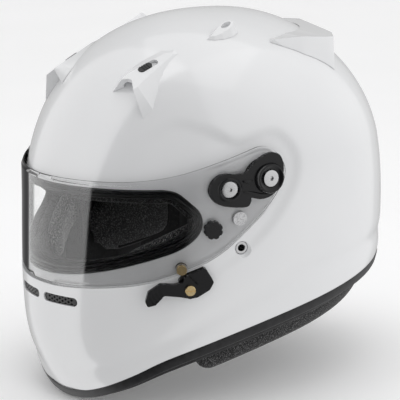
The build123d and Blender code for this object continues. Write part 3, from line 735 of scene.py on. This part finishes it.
def outwardOf(grid, climb):
    # outward direction at each point of a dome's grid, straight up at its top
    out = np.cross(np.roll(grid, -1, 0) - np.roll(grid, 1, 0), climb)
    length = np.linalg.norm(out, axis=2, keepdims=True)
    return np.where(length > 1e-6, out / np.maximum(length, 1e-9), (0, 0, 1))


def makeShell(shape):
    turn = circle(shape["columns"])[:, None]
    waist = shape["side"][2]
    share = np.concatenate([np.linspace(0, 1, shape["lowRows"], endpoint=False), np.ones(shape["highRows"])])
    quarter = np.concatenate([np.zeros(shape["lowRows"]), np.linspace(0, 1, shape["highRows"])])
    bottom = edgeLevel(turn[:, 0], shape["edgeDrop"])[:, None]
    grids = []
    for grow in (0.0, -shape["wall"]):
        level = bottom + (waist - bottom) * share[None]
        level = level + (shape["height"] + grow - waist) * np.sin(quarter * math.pi / 2)[None]
        grids.append(shellPoint(turn, level, grow))
    outer, inner = grids
    outer = outer + outwardOf(outer, np.gradient(outer, axis=1)) * softRise(outer)[..., None]
    outer[:, -1] = (0, 0, shape["height"])
    inner[:, -1] = (0, 0, shape["height"] - shape["wall"])
    return plateFromGrids("helmetShell", outer, inner, dome=True)


def slotOutline(middle, length, width, steps=12):
    radius = width / 2
    out = []
    for side in (1, -1):
        for t in np.linspace(-math.pi / 2, math.pi / 2, steps):
            across = length / 2 - radius + radius * math.cos(t)
            out.append((middle[0] + side * across, middle[1] + side * radius * math.sin(t)))
    return out


def sliderCut(room, side):
    (along, runs), (up, lifts), (across, widths) = (room[key] for key in ("along", "up", "across"))
    lines = []
    for run, width in ((0, 0), (1, 0), (1, 1), (0, 1)):
        corner = np.multiply(along, runs[run]) + np.multiply(across, widths[width])
        lines.append([(corner + np.multiply(up, lift)) * (side, 1, 1) for lift in lifts])
    return tubeFromLines("sliderCut", lines, False)


def hingeBore(side, radius):
    # a round cutter on the visor's hinge axis, through one side
    start, end = ((side * x, *visorShape["pivot"]) for x in visorShape["boreReach"])
    return coneAlong("hingeBore", start, end, [(0, radius), (1, radius)])


def shellCutters():
    port = roundedLine(portShape["corners"], portShape["radii"], 8)
    outline = grownOutline(developed(visorShape), visorShape["bedMargin"])
    turn, level = panelGrid(outline, *visorShape["bedGrid"])
    bed = [visorPoint(turn, level, grow) for grow in (visorShape["bedHeight"], -visorShape["gap"])]
    cutters = [prism("portCut", port, "X", *portShape["reach"]), plateFromGrids("bedCut", *bed)]
    slot, anchor = chinSlotShape, anchorShape
    for side in (1, -1):
        outline = slotOutline((side * slot["middle"], slot["level"]), slot["length"], slot["width"])
        place, out = (np.array(anchor[key]) * (side, 1, 1) for key in ("place", "out"))
        start, end = (place + out * reach for reach in anchor["reach"])
        cutters += [
            prism("slotCut", outline, "Y", *slot["run"]),
            sliderCut(sliderRoom, side),
            coneAlong("anchorCut", start, end, anchor["rings"]),
            hingeBore(side, hingeBoreRadius),
        ]
    return cutters


helmetShell = makeShell(shellShape)
cutWith(helmetShell, shellCutters())
smoothed(helmetShell, 30)
dress(helmetShell, "root", "shell_paint", "outer_shell")
print("shell made with", len(helmetShell.data.vertices), "points")


# visor: a clear sheet with a stepped edge, holed for its hinge

def makeVisor(shape):
    outline = developed(shape)
    turn, level = panelGrid(outline, *shape["grid"])
    away = edgeDistance(turn, level, outline)
    thin = shape["edgeStep"] * (1 - smoothStep(*shape["edgeBand"], away))
    outer = visorPoint(turn, level, shape["wall"] - thin)
    sheet = plateFromGrids("visorSheet", outer, visorPoint(turn, level), smoothAngle=50)
    cutWith(sheet, [hingeBore(side, shape["hole"]) for side in (1, -1)])
    smoothed(sheet, 40)
    return sheet


visorSheet = makeVisor(visorShape)
dress(visorSheet, "visor", "visor_clear", "visor")
print("visor made with", len(visorSheet.data.vertices), "points")


# eye port gasket: a ribbed rubber lip round the opening

gasketShape = {
    "profile": [
        (0.35, -7.2), (0.35, -1.2), (0.7, -0.6), (1.6, -0.5), (2.2, -0.8), (2.5, -1.5), (3.0, -1.6),
        (3.4, -1.0), (4.0, -0.9), (4.4, -1.3), (4.7, -2.1), (5.3, -2.2), (5.9, -2.0), (6.4, -2.4),
        (6.6, -3.4), (6.6, -7.2), (5.4, -8.6), (-3.8, -8.6), (-4.0, -7.2),
    ],
    "step": 1.6,
}


def sweepOnVisor(name, loop, profile):
    # profile points are millimetres into the opening and outwards
    scale = arcPerTurn(loop[:, 0])
    flat = loop * np.column_stack([scale, np.ones(len(loop))])
    slope = unit(np.roll(flat, -1, 0) - np.roll(flat, 1, 0))
    inward = np.column_stack([slope[:, 1], -slope[:, 0]])
    lines = []
    for a, b in profile:
        moved = flat + np.asarray(a, float)[..., None] * inward
        lines.append(visorPoint(moved[:, 0] / scale, moved[:, 1], b))
    return tubeFromLines(name, lines, True, 50)


portEdge = developed(portShape, gasketShape["step"])
portLoop = np.vstack([portEdge, (portEdge * (-1, 1))[::-1][1:-1]])  # both sides as one closed loop
portGasket = sweepOnVisor("portGasket", portLoop, gasketShape["profile"])
dress(portGasket, "root", "black_rubber", "eyeport_gasket")
print("gasket made with", len(portGasket.data.vertices), "points")


# fabric strip behind the gasket, deeper at the brow than at the chin

liningShape = {
    "start": 2.0,
    "top": 11.6,
    "low": 7.8,
    "turnLevels": (112, 140),
    "near": -9.2,
    "far": -17.5,
    "nearCorner": [(-2.0, 0.0), (-0.6, -0.7), (0.0, -2.3)],
    "farCorner": [(0.0, 3.5), (-1.2, 1.0), (-4.0, 0.0)],
}


def makeLining(shape):
    start, near, far = (shape[key] for key in ("start", "near", "far"))
    reach = shape["low"] + (shape["top"] - shape["low"]) * smoothStep(*shape["turnLevels"], portLoop[:, 1])
    profile = [(start, near)] + [(reach + a, near + b) for a, b in shape["nearCorner"]]
    profile += [(reach + a, far + b) for a, b in shape["farCorner"]] + [(start, far)]
    return sweepOnVisor("portLining", portLoop, profile)


portLining = makeLining(liningShape)
dress(portLining, "root", "pad_fabric")
print("lining strip made")


# rubber channel on the bottom edge, and a second lip inside it

trimShape = {
    "profile": [
        (0.3, 3.2), (0.35, 0.3), (0.7, -0.1), (1.2, 0.2), (1.5, 1.2), (1.45, 5.6), (1.1, 6.6), (0.2, 7.2),
        (-4.6, 7.2), (-5.5, 6.6), (-5.9, 5.4), (-5.9, 0.6), (-5.4, 0.0), (-4.8, 0.4), (-4.8, 3.9),
        (-2.2, 4.0), (0.3, 3.9),
    ],
    "lip": [
        (-6.4, 2.0), (-6.2, 9.0), (-6.0, 11.6), (-6.6, 12.8), (-7.8, 13.0), (-8.6, 12.2), (-8.9, 9.0),
        (-9.0, 2.0),
    ],
    "columns": 420,
}


def sweepOnEdge(name, profile, turns, closed, scale=1.0):
    # profile points are millimetres outwards and down from the edge line; scale draws them to their middle
    middle = np.mean(profile, 0)
    lines = []
    for point in profile:
        grow, drop = (middle[i] + (point[i] - middle[i]) * scale for i in (0, 1))
        lines.append(shellPoint(turns, edgeLevel(turns, drop, grow), grow))
    return tubeFromLines(name, lines, closed, 45)


allTurns = circle(trimShape["columns"])
rimTrim = sweepOnEdge("rimTrim", trimShape["profile"], allTurns, True)
dress(rimTrim, "root", "black_rubber", "edge_trim")
chinLip = sweepOnEdge("chinLip", trimShape["lip"], allTurns, True)
dress(chinLip, "root", "black_rubber")
print("edge trim made")


# neck roll: a crowned pad round the back of the opening

neckShape = {
    "middle": (-13.6, 8.4),
    "half": (6.3, 16.4),
    "roundness": 0.72,
    "start": 0.97,
    "sides": 40,
    "columns": 260,
    "arc": 120,  # mm along the edge for each radian of turn
    "roundEnd": 14.0,
}


def makeNeckRoll(shape):
    turns = np.linspace(shape["start"], 2 * math.pi - shape["start"], shape["columns"])
    t = circle(shape["sides"])
    section = np.column_stack([np.cos(t), np.sin(t)])
    section = np.sign(section) * np.abs(section) ** shape["roundness"]
    profile = shape["middle"] + shape["half"] * section
    scale = roundedEnd(np.minimum(turns - turns[0], turns[-1] - turns) * shape["arc"] / shape["roundEnd"])
    return sweepOnEdge("neckRoll", profile, turns, False, scale)


neckRoll = makeNeckRoll(neckShape)
dress(neckRoll, "root", "pad_fabric", "neck_roll")
print("neck roll made")


# hinge arm on each side of the visor, with a rim round each screw and ribs on its waist

armShape = {
    "outline": [
        (-67.2, 174.4), (-63.9, 174.8), (-60.2, 175.2), (-57.6, 178.0), (-53.0, 182.9), (-47.2, 186.8),
        (-42.9, 188.2), (-40.3, 188.0), (-36.6, 186.3), (-33.9, 181.9), (-32.5, 175.8), (-32.8, 169.8),
        (-34.4, 163.8), (-38.2, 158.6), (-43.0, 155.8), (-48.4, 155.2), (-52.1, 156.0), (-55.4, 156.8),
        (-55.2, 154.9), (-56.4, 151.7), (-58.4, 150.5), (-63.9, 150.6), (-69.9, 151.5), (-74.4, 152.6),
        (-79.0, 155.8), (-81.9, 160.5), (-82.6, 165.0), (-81.0, 170.3), (-77.0, 174.4), (-72.0, 175.6),
    ],
    "near": 2.35,
    "gridY": (-86, -29, 90),
    "gridZ": (146, 192, 70),
    "outlineReach": (90, 150),
    "near": 2.35,
    "far": 4.9,
    "softness": 0.7,
    "front": (-70.4, 163.9),
    "rear": (-43.0, 170.0),
    "rearLean": -0.17,
    "rearReach": 128.4,
    "hole": 6.4,
    "holeReach": (-8, 3),
    "frontRim": [(6.5, -2.2), (6.5, 0.4), (6.9, 1.0), (7.6, 1.2), (8.3, 0.9), (9.0, -0.2), (9.0, -2.2)],
    "rearRim": [
        (6.5, -4.4), (6.5, -1.0), (7.2, -0.8), (8.2, -0.1),
        (9.2, 0.5), (10.2, 0.2), (10.9, -1.0), (11.2, -4.4),
    ],
    "head": [(0, 0.12), (3.0, 0.1), (5.2, 0.0), (5.8, -0.2), (6.05, -0.6), (6.05, -2.4), (0, -2.4)],
    "socket": 1.9,
    "socketReach": (-1.4, 1.0),
    "ribs": [
        [(-62.2, 169.4), (-59.0, 168.8), (-55.4, 169.4)],
        [(-61.5, 161.8), (-55.5, 160.3), (-49.5, 158.6), (-43.5, 157.9)],
    ],
    "ribRadius": 0.95,
    "ribFlatness": 1.4,
}


def visorSeat(y, z, grow):
    # a point on the left side of the visor, and the way outwards there
    turn = math.acos(-y / visorReach(z, grow))
    place = visorPoint(turn, z, grow)
    level, up = visorPoint(turn + 0.01, z, grow) - place, visorPoint(turn, z + 0.5, grow) - place
    return place, unit(np.cross(level, up))


def makeArm(shape):
    y, z = np.meshgrid(np.linspace(*shape["gridY"]), np.linspace(*shape["gridZ"]), indexing="ij")
    faces = (shape["far"], shape["near"])
    grids = [visorPoint(np.arccos(-y / visorReach(z, grow)), z, grow) for grow in faces]
    arm = plateFromGrids("hingeLink", *grids)
    outline = smoothLine(shape["outline"] + shape["outline"][:1], 3)[:-1]
    cutWith(arm, [prism("armOutline", outline, "X", *shape["outlineReach"])], "INTERSECT")
    place, out = visorSeat(*shape["front"], shape["far"])
    rearPlace, _ = visorSeat(*shape["rear"], shape["far"])
    rearOut = unit(np.array([1, shape["rearLean"], 0]))
    rearPlace = rearPlace + rearOut * (shape["rearReach"] - rearPlace[0]) / rearOut[0]
    seats = [(place, out), (rearPlace, rearOut)]
    bore = [(0, shape["hole"]), (1, shape["hole"])]
    inner, outer = shape["holeReach"]
    cutWith(arm, [coneAlong("screwHole", spot + way * inner, spot + way * outer, bore) for spot, way in seats])
    addBevel(arm, shape["softness"], 40, 3)
    applyModifiers(arm)
    smoothed(arm, 40)
    parts = [arm] + [turned("rim", shape[rim], *seat) for rim, seat in zip(("frontRim", "rearRim"), seats)]
    for rib in shape["ribs"]:
        line = np.array([visorSeat(*point, shape["far"])[0] for point in smoothLine(rib, 8)])
        across = np.cross(unit(np.gradient(line, axis=0)), out) * shape["ribFlatness"]
        size = shape["ribRadius"] * np.sin(np.linspace(0.1, math.pi - 0.1, len(line)))[:, None] ** 0.5
        parts.append(beadAlong("rib", line, out, across, size, 12, False))
    return joinedInto("hingeLink_left", parts), *seats


def makeHead(name, place, out, shape):
    head = turned(name, shape["head"], place, out)
    socket = [(0, shape["socket"]), (1, shape["socket"])]
    inner, outer = shape["socketReach"]
    cutWith(head, [coneAlong("socket", place + out * inner, place + out * outer, socket, sides=6)])
    smoothed(head, 35)
    return head


hingeLink, frontSeat, rearSeat = makeArm(armShape)
for piece, name, body, slotName, node in (
    (hingeLink, "hingeLink", "visor", "hinge_plastic", "hinge_arm"),
    (makeHead("armScrew_left", *frontSeat, armShape), "armScrew", "visor", "screw_steel", "visor_screw"),
    (makeHead("hubScrew_left", *rearSeat, armShape), "hubScrew", "root", "screw_steel", "pivot_screw"),
):
    twin = copyOf(piece, name + "_right", Matrix.Scale(-1, 4, (1, 0, 0)))
    dress(piece, body, slotName, node + "_left")
    dress(twin, body, slotName, node + "_right")
print("hinge arms made")


# padded lip that carries on from each cheek pad to the chin bar, along the lower edge of the port

cheekLipShape = {
    "turns": (0.5, 1.0),
    "levels": (113.0, 140.5),
    "grow": -18.5,
    "profile": [
        (0, 22), (0, 8), (-0.2, 4), (-1.2, 1.4), (-3.2, 0.2), (-6.0, 0.0), (-8.8, 0.7), (-10.8, 2.6),
        (-11.6, 6), (-11.8, 12), (-11.8, 22),
    ],
    "middleDepth": 5.9,
    "flangeDrop": 12,  # the flange, from this drop on, keeps its level
    "tipDrop": 6.0,
    "columns": 60,
    "length": 55,
    "roundEnd": 9.0,
}
bothSides = ((1, "left"), (-1, "right"))


def makeCheekLip(name, side, shape):
    share = np.linspace(0, 1, shape["columns"])
    first, last = shape["turns"]
    turn = side * (first + (last - first) * share)
    low, high = shape["levels"]
    top = low + (high - low) * share
    tip = roundedEnd(share * shape["length"] / shape["roundEnd"])
    lines = []
    for grow, drop in shape["profile"]:
        depth = shape["grow"] - shape["middleDepth"] + (grow + shape["middleDepth"]) * tip
        lowered = drop + shape["tipDrop"] * (1 - tip) * (drop < shape["flangeDrop"])
        lines.append(shellPoint(turn, top - lowered, depth))
    return tubeFromLines(name, lines, False, 60)


for side, sideName in bothSides:
    lip = makeCheekLip("cheekLip_" + sideName, side, cheekLipShape)
    # the lip wears the lighter copy of the cloth, painted light where it catches light at the port
    dress(lip, "root", "pad_fabric", finish=paintedLightKnit)
print("cheek lips made")


# cheek pads: each CAD block is drawn in a little, then swelled as cloth and piped round its inner face

cheekShape = {
    "voxel": 0.0045,
    "smoothing": 6,
    "inset": 2.2,
    "pressure": 4.0,
    "frames": 20,
    "mostMove": 5.0,
    "corners": [(-97, 96), (-88, 84), (-40, 76), (18, 86), (20, 142), (-48, 142), (-84, 122), (-97, 96)],
    "cornerRadius": 14,
    "pipeInset": 9.0,
    "pipeRadius": 1.1,
    "pipeSmoothing": 6,
}


def remeshed(piece, values):
    addWeld(piece)
    addModifier(piece, "REMESH", mode="VOXEL", voxel_size=values["voxel"])
    addModifier(piece, "SMOOTH", iterations=values["smoothing"])
    addModifier(piece, "DISPLACE", strength=-values["inset"] * mm, mid_level=0)
    applyModifiers(piece)


def pointsOf(piece):
    points = np.empty(len(piece.data.vertices) * 3)
    piece.data.vertices.foreach_get("co", points)
    return points.reshape(-1, 3)


def swell(piece, values):
    # cloth under pressure, with a limit on how far a point may move
    start = pointsOf(piece)
    cloth = addModifier(piece, "CLOTH")
    cloth.settings.use_pressure = True
    cloth.settings.uniform_pressure_force = values["pressure"]
    cloth.settings.effector_weights.gravity = 0
    cloth.point_cache.frame_end = values["frames"]
    for frameNumber in range(1, values["frames"] + 1):
        bpy.context.scene.frame_set(frameNumber)
    applyModifiers(piece)
    bpy.context.scene.frame_set(1)
    move = pointsOf(piece) - start
    far = np.linalg.norm(move, axis=1)[:, None]
    move *= np.minimum(1, values["mostMove"] * mm / np.maximum(far, 1e-9))
    piece.data.vertices.foreach_set("co", (start + move).ravel())
    addModifier(piece, "SUBSURF", levels=1, render_levels=1)
    applyModifiers(piece)
    smoothed(piece, 60)


def pipeOn(name, piece, side, values):
    # a thin round piping laid on the pad's inner face
    corners = values["corners"]
    line = roundedLine(corners, [values["cornerRadius"]] * (len(corners) - 2), 6)[:-1]
    middle = line.mean(0)
    away = line - middle
    line = middle + away * (1 - values["pipeInset"] / np.linalg.norm(away, axis=1)[:, None])
    line = smoothLine(np.vstack([line, line[:1]]), 3)[:-1]
    spots = []
    for y, z in line:
        hit, place, *_ = piece.ray_cast(Vector((side * 0.02, y * mm, z * mm)), Vector((side, 0, 0)))
        if hit:
            spots.append(np.array(place) / mm)
    spots = np.array(spots)
    for _ in range(values["pipeSmoothing"]):
        spots = (np.roll(spots, 1, 0) + 2 * spots + np.roll(spots, -1, 0)) / 4
    way = unit(np.roll(spots, -1, 0) - np.roll(spots, 1, 0))
    out = unit(np.cross(way, (1, 0, 0)))
    return beadAlong(name, spots, out, np.cross(way, out), values["pipeRadius"], 10, True)


for side, sideName in bothSides:
    block = nodes["cheek_pad_" + sideName]
    pad = copyOf(block, "cheekPadding_" + sideName, block.matrix_world)
    remeshed(pad, cheekShape)
    swell(pad, cheekShape)
    dress(pad, "root", "pad_fabric", "cheek_pad_" + sideName)
    piping = pipeOn("cheekPiping_" + sideName, pad, side, cheekShape)
    # the piping wears the darker copy of the cloth, painted shade
    dress(piping, "root", "pad_fabric", finish=paintedShadeKnit)
print("cheek pads made")


# crown padding: a lining quilted in lobes, thin at its seams and round at its lower edge

crownShape = {
    "outer": -37.25,
    "wall": 9.0,
    "fullness": 1.3,
    "edgeShare": 0.05,
    "levels": (173.5, 148.0),
    "slope": (-74, -58),
    "lobes": 5,
    "lobeTurn": 0.35,
    "seamShare": 0.35,
    "seamWidth": 0.13,
    "ringSeams": (0.30, 0.66),
    "ringSharpness": 9,
    "columns": 300,
    "rows": 110,
}


def makeCrown(shape):
    front, rear = shape["levels"]

    def wantedAt(y):
        return front + (rear - front) * smoothStep(*shape["slope"], y)

    turn = circle(shape["columns"])[:, None]
    climb = np.linspace(0, 1, shape["rows"])[None]
    half = shape["wall"] / 2
    middle = shape["outer"] - half
    bottom = levelWhere(turn[:, 0], middle, 160.0, 20, wantedAt)[:, None]
    height = shellShape["height"] + middle
    level = bottom + (height - bottom) * np.sin(climb * math.pi / 2)
    seam = np.abs(np.sin(turn * shape["lobes"] / 2 + shape["lobeTurn"])) * np.ones_like(climb)
    for spot in shape["ringSeams"]:
        seam = np.minimum(seam, np.abs(climb - spot) * shape["ringSharpness"])
    fill = 1 - shape["seamShare"] * np.exp(-((seam / shape["seamWidth"]) ** 2))
    fill = fill * roundedEnd(climb / shape["edgeShare"])
    core = shellPoint(turn, level, middle)
    out = outwardOf(core, core - shellPoint(turn, level - 1.0, middle))
    grids = []
    for grow in (half * np.minimum(fill * shape["fullness"], 1), half - shape["wall"] * fill):
        grid = core + out * grow[..., None]
        grid[:, -1] = grid[:, -1].mean(0)
        grids.append(grid)
    return plateFromGrids("crownPadding", *grids, dome=True)


crownPadding = makeCrown(crownShape)
# the crown padding wears the darker copy of the cloth, painted shade for the inside of the shell
dress(crownPadding, "root", "pad_fabric", "crown_pad", finish=paintedShadeKnit)
print("crown padding made")


# chin strap: two flat woven bands, hemmed and stitched, the right one looped round the two rings

strapShape = {
    "wall": 1.6,
    "width": 24.0,
    "y": -22.0,
    "head": 120.0,
    "foot": 66.0,
    "level": 50.0,
    "drop": (0.8, 58.0),
    "bend": 50.0,
    "bendRadius": 7,
    "ends": {"left": -8.0, "right": 28.0},
    "grow": -38.05,
    "rings": (31.8, 37.8),
    "ringLevel": 47.0,
    "loop": 3.0,
    "loopWall": 1.44,
    "thread": [(0, 0.22), (0.25, 0.34), (0.75, 0.34), (1, 0.22)],
    "stitchRows": (-9.5, 9.5),
    "stitchLift": 0.05,
    "hem": [
        (-1, 0.35), (-0.985, 0.75), (-0.94, 1.0), (-0.8, 1.0), (-0.4, 0.94), (0, 0.9),
        (0.4, 0.94), (0.8, 1.0), (0.94, 1.0), (0.985, 0.75), (1.0, 0.35),
    ],
}


def ribbon(name, path, normals, shape):
    # a flat band along its middle line; hem gives its share of the full wall across its width
    lines = []
    for sign, hem in ((1, shape["hem"]), (-1, shape["hem"][::-1])):
        for across, thick in hem:
            offset = np.array([0, across * shape["width"] / 2, 0])
            lines.append(path + normals * sign * thick * shape["wall"] / 2 + offset)
    return tubeFromLines(name, lines, False, 50)


def strapPath(side, end, shape):
    # middle line of one half, down inside the shell and then across under the chin, with its face directions
    level = np.linspace(shape["head"], shape["foot"], 40)
    reach, along = (halfSize(level, shellShape[key], shape["grow"]) for key in ("side", "front"))
    x = reach * np.sqrt(1 - (shape["y"] / along) ** 2)
    inward, drop = shape["drop"]
    low = shape["level"]
    corners = [(x[-1], shape["foot"]), (x[-1] - inward, drop), (shape["bend"], low), (end, low)]
    free = roundedLine(corners, [shape["bendRadius"]] * 2, 8)
    line = np.vstack([np.column_stack([x, level])[:-1], denseLine(free, 2.0)])
    line[:, 0] *= side
    way = unit(np.gradient(line, axis=0))
    path = np.column_stack([line[:, 0], np.full(len(line), shape["y"]), line[:, 1]])
    return path, np.column_stack([-way[:, 1], np.zeros(len(line)), way[:, 0]])


def stitchRow(path, normals, offset, shape):
    # short threads that stand just proud of the band
    threads = []
    for i in range(2, len(path) - 3, 2):
        step = path[i + 1] - path[i]
        start = path[i] + normals[i] * (shape["wall"] / 2 + shape["stitchLift"]) + np.array([0, offset, 0])
        threads.append(coneAlong("strapThread", start + step * 0.1, start + step * 0.9, shape["thread"], 8))
    return threads


def ringLoop(name, x, shape):
    # a band sewn round the straight side of a ring
    turn = circle(40)
    out = np.column_stack([np.cos(turn), np.zeros(len(turn)), np.sin(turn)])
    path = np.array([x, shape["y"], shape["ringLevel"]]) + out * shape["loop"]
    half, wide = shape["loopWall"] / 2, shape["width"] / 2
    corners = ((half, -wide), (half, wide), (-half, wide), (-half, -wide))
    return tubeFromLines(name, [path + out * r + np.array([0, w, 0]) for r, w in corners], True, 40)


for side, sideName in bothSides:
    path, normals = strapPath(side, strapShape["ends"][sideName], strapShape)
    band = ribbon("chinStrap_" + sideName, path, normals, strapShape)
    dress(band, "root", "strap_webbing", "chin_strap_" + sideName)
    threads = []
    for way in (1, -1):
        for y in strapShape["stitchRows"]:
            threads += stitchRow(path, normals * way, y, strapShape)
    stitches = joinedInto("strapStitches_" + sideName, threads)
    dress(stitches, "root", "strap_webbing", finish=finishes["pad_fabric"])
for number, x in enumerate(strapShape["rings"], start=1):
    dress(ringLoop("ringLoop_" + str(number), -x, strapShape), "root", "strap_webbing")
print("chin strap made")


# nodes whose shape stays as it is, with their edges softened: width in mm, least angle in degrees, segments

edgeSoftness = {
    "brow_vent": (1.1, 10, 4),
    "top_vent": (0.9, 12, 4),
    "rear_wing": (0.9, 14, 4),
    "brow_slider": (0.25, 30, 2),
    "tearoff_post": (0.5, 40, 3),
    "visor_disc": (0.3, 40, 3),
    "latch_base": (0.8, 35, 3),
    "latch_lever": (0.7, 40, 3),
    "latch_screw": (0.35, 40, 3),
    "latch_post": (0.35, 40, 3),
    "latch_collar": (0.3, 40, 3),
    "anchor_insert": (0.3, 40, 2),
    "chin_grille": (0.15, 40, 2),
    "d_ring": (0.2, 40, 2),
}


def softenEdges(values):
    for name, piece in nodes.items():
        for start, softness in values.items():
            if name.startswith(start):
                addWeld(piece)
                addBevel(piece, *softness)
                addModifier(piece, "WEIGHTED_NORMAL", keep_sharp=False)


softenEdges(edgeSoftness)
print("edges softened")


# floor, light and surroundings; angles are round the object, 0 towards the camera
# bands and heights are what gloss sees, softSides and softHeights what soft light comes from

studio = {
    "floorSize": 8.0,
    "floorLevel": -0.0005,
    "floorGlow": 0.12,
    "camera": 51.9,
    "bands": [
        (-180, 0.55), (-143, 0.62), (-140, 1.3), (-100, 1.7), (-61, 2.3), (-59, 0.003), (7, 0.003),
        (18, 0.7), (36, 0.8), (60, 0.85), (140, 1.0), (143, 0.62), (180, 0.55),
    ],
    "heights": [(-1.0, 0.7), (0.0, 0.85), (0.35, 0.9), (0.6, 0.85), (0.8, 0.95), (1.0, 1.0)],
    "softSides": [(-180, 0.86), (-110, 0.78), (-60, 0.68), (0, 0.74), (60, 1.0), (110, 1.38), (180, 1.0)],
    "softHeights": [(-1.0, 0.84), (-0.2, 0.9), (0.0, 0.93), (0.4, 0.9), (0.8, 0.94), (1.0, 0.98)],
    "seen": 1.0,
    "softbox": {"place": (-0.1, 0.1, 1.4), "aim": (0, 0, 0.15), "size": (1.0, 1.0), "power": 1.8},
}


def makeFloor(values):
    mesh = bpy.data.meshes.new("studioFloor")
    half = values["floorSize"] / 2
    corners = [(-half, -half), (half, -half), (half, half), (-half, half)]
    mesh.from_pydata([(x, y, values["floorLevel"]) for x, y in corners], [], [(0, 1, 2, 3)])
    floor = placed("studioFloor", mesh)
    glow = {"Emission_Color": (1, 1, 1, 1), "Emission_Strength": values["floorGlow"]}
    material, shader = newMaterial("paleFloor", (0.93, 0.93, 0.935), 0.6, **glow)
    tones = [(0.3, (0.92, 0.92, 0.925)), (0.7, (0.94, 0.94, 0.945))]
    link(material, ramp(material, fieldOf(material, noise(3, 2)), tones), shader, "Base Color")
    below = addNode(material, "ShaderNodeNewGeometry").outputs["Backfacing"]  # clear from below
    link(material, ramp(material, below, [(0.4, grey(1)), (0.6, grey(0))]), shader, "Alpha")
    mesh.materials.append(material)
    floor.visible_glossy = False  # gloss and soft light see the surroundings in its place
    floor.visible_diffuse = False
    floor.visible_transmission = False


def makeSurroundings(values):
    world = bpy.data.worlds.new("studioTent")
    bpy.context.scene.world = world
    world.use_nodes = True
    world.cycles.sampling_method = "NONE"
    world.node_tree.nodes.clear()

    def maths(operation, first, second):
        return addNode(world, "ShaderNodeMath", {0: first, 1: second}, operation=operation).outputs[0]

    def choose(test, otherwise, chosen):
        return addNode(world, "ShaderNodeMixShader", {0: test, 1: otherwise, 2: chosen}).outputs[0]

    camera = math.radians(values["camera"])
    place = addNode(world, "ShaderNodeTexCoord").outputs["Generated"]
    upward = addNode(world, "ShaderNodeSeparateXYZ", {0: place}).outputs["Z"]
    near, across = (
        addNode(world, "ShaderNodeVectorMath", {0: place, 1: way}, operation="DOT_PRODUCT").outputs["Value"]
        for way in ((math.sin(camera), -math.cos(camera), 0), (math.cos(camera), math.sin(camera), 0))
    )
    turn = {"Value": maths("ARCTAN2", across, near), "From Min": -math.pi, "From Max": math.pi}
    share = addNode(world, "ShaderNodeMapRange", turn).outputs[0]
    lift = addNode(world, "ShaderNodeMapRange", {"Value": upward, "From Min": -1}).outputs[0]

    def tent(sides, heights):
        around = ramp(world, share, [(a / 360 + 0.5, grey(v)) for a, v in sides])
        above = ramp(world, lift, [((z + 1) / 2, grey(v)) for z, v in heights])
        settings = {"data_type": "RGBA", "blend_type": "MULTIPLY"}
        both = addNode(world, "ShaderNodeMix", {"Factor": 1, 6: around, 7: above}, **settings).outputs[2]
        return addNode(world, "ShaderNodeBackground", {"Color": both}).outputs[0]

    mirrored = tent(values["bands"], values["heights"])
    soft = tent(values["softSides"], values["softHeights"])
    plain = addNode(world, "ShaderNodeBackground", {"Color": (*grey(values["seen"]), 1)}).outputs[0]
    path = addNode(world, "ShaderNodeLightPath").outputs
    direct = maths("LESS_THAN", maths("ADD", path["Diffuse Depth"], path["Glossy Depth"]), 0.5)
    result = choose(maths("GREATER_THAN", path["Diffuse Depth"], 0.5), mirrored, soft)
    result = choose(direct, result, plain)  # seen straight through the clear sheet
    addNode(world, "ShaderNodeOutputWorld", {0: choose(path["Is Camera Ray"], result, plain)})


def makeLamp(name, place, aim, size, power):
    data = bpy.data.lights.new(name, "AREA")
    data.shape = "RECTANGLE"
    data.size, data.size_y = size
    data.energy = power
    lamp = placed(name, data)
    lamp.location = place
    lamp.rotation_euler = (Vector(aim) - Vector(place)).to_track_quat("-Z", "Y").to_euler()


makeFloor(studio)
makeSurroundings(studio)
makeLamp("topSoftbox", **studio["softbox"])
bpy.context.scene.view_settings.view_transform = "Standard"
print("studio built")
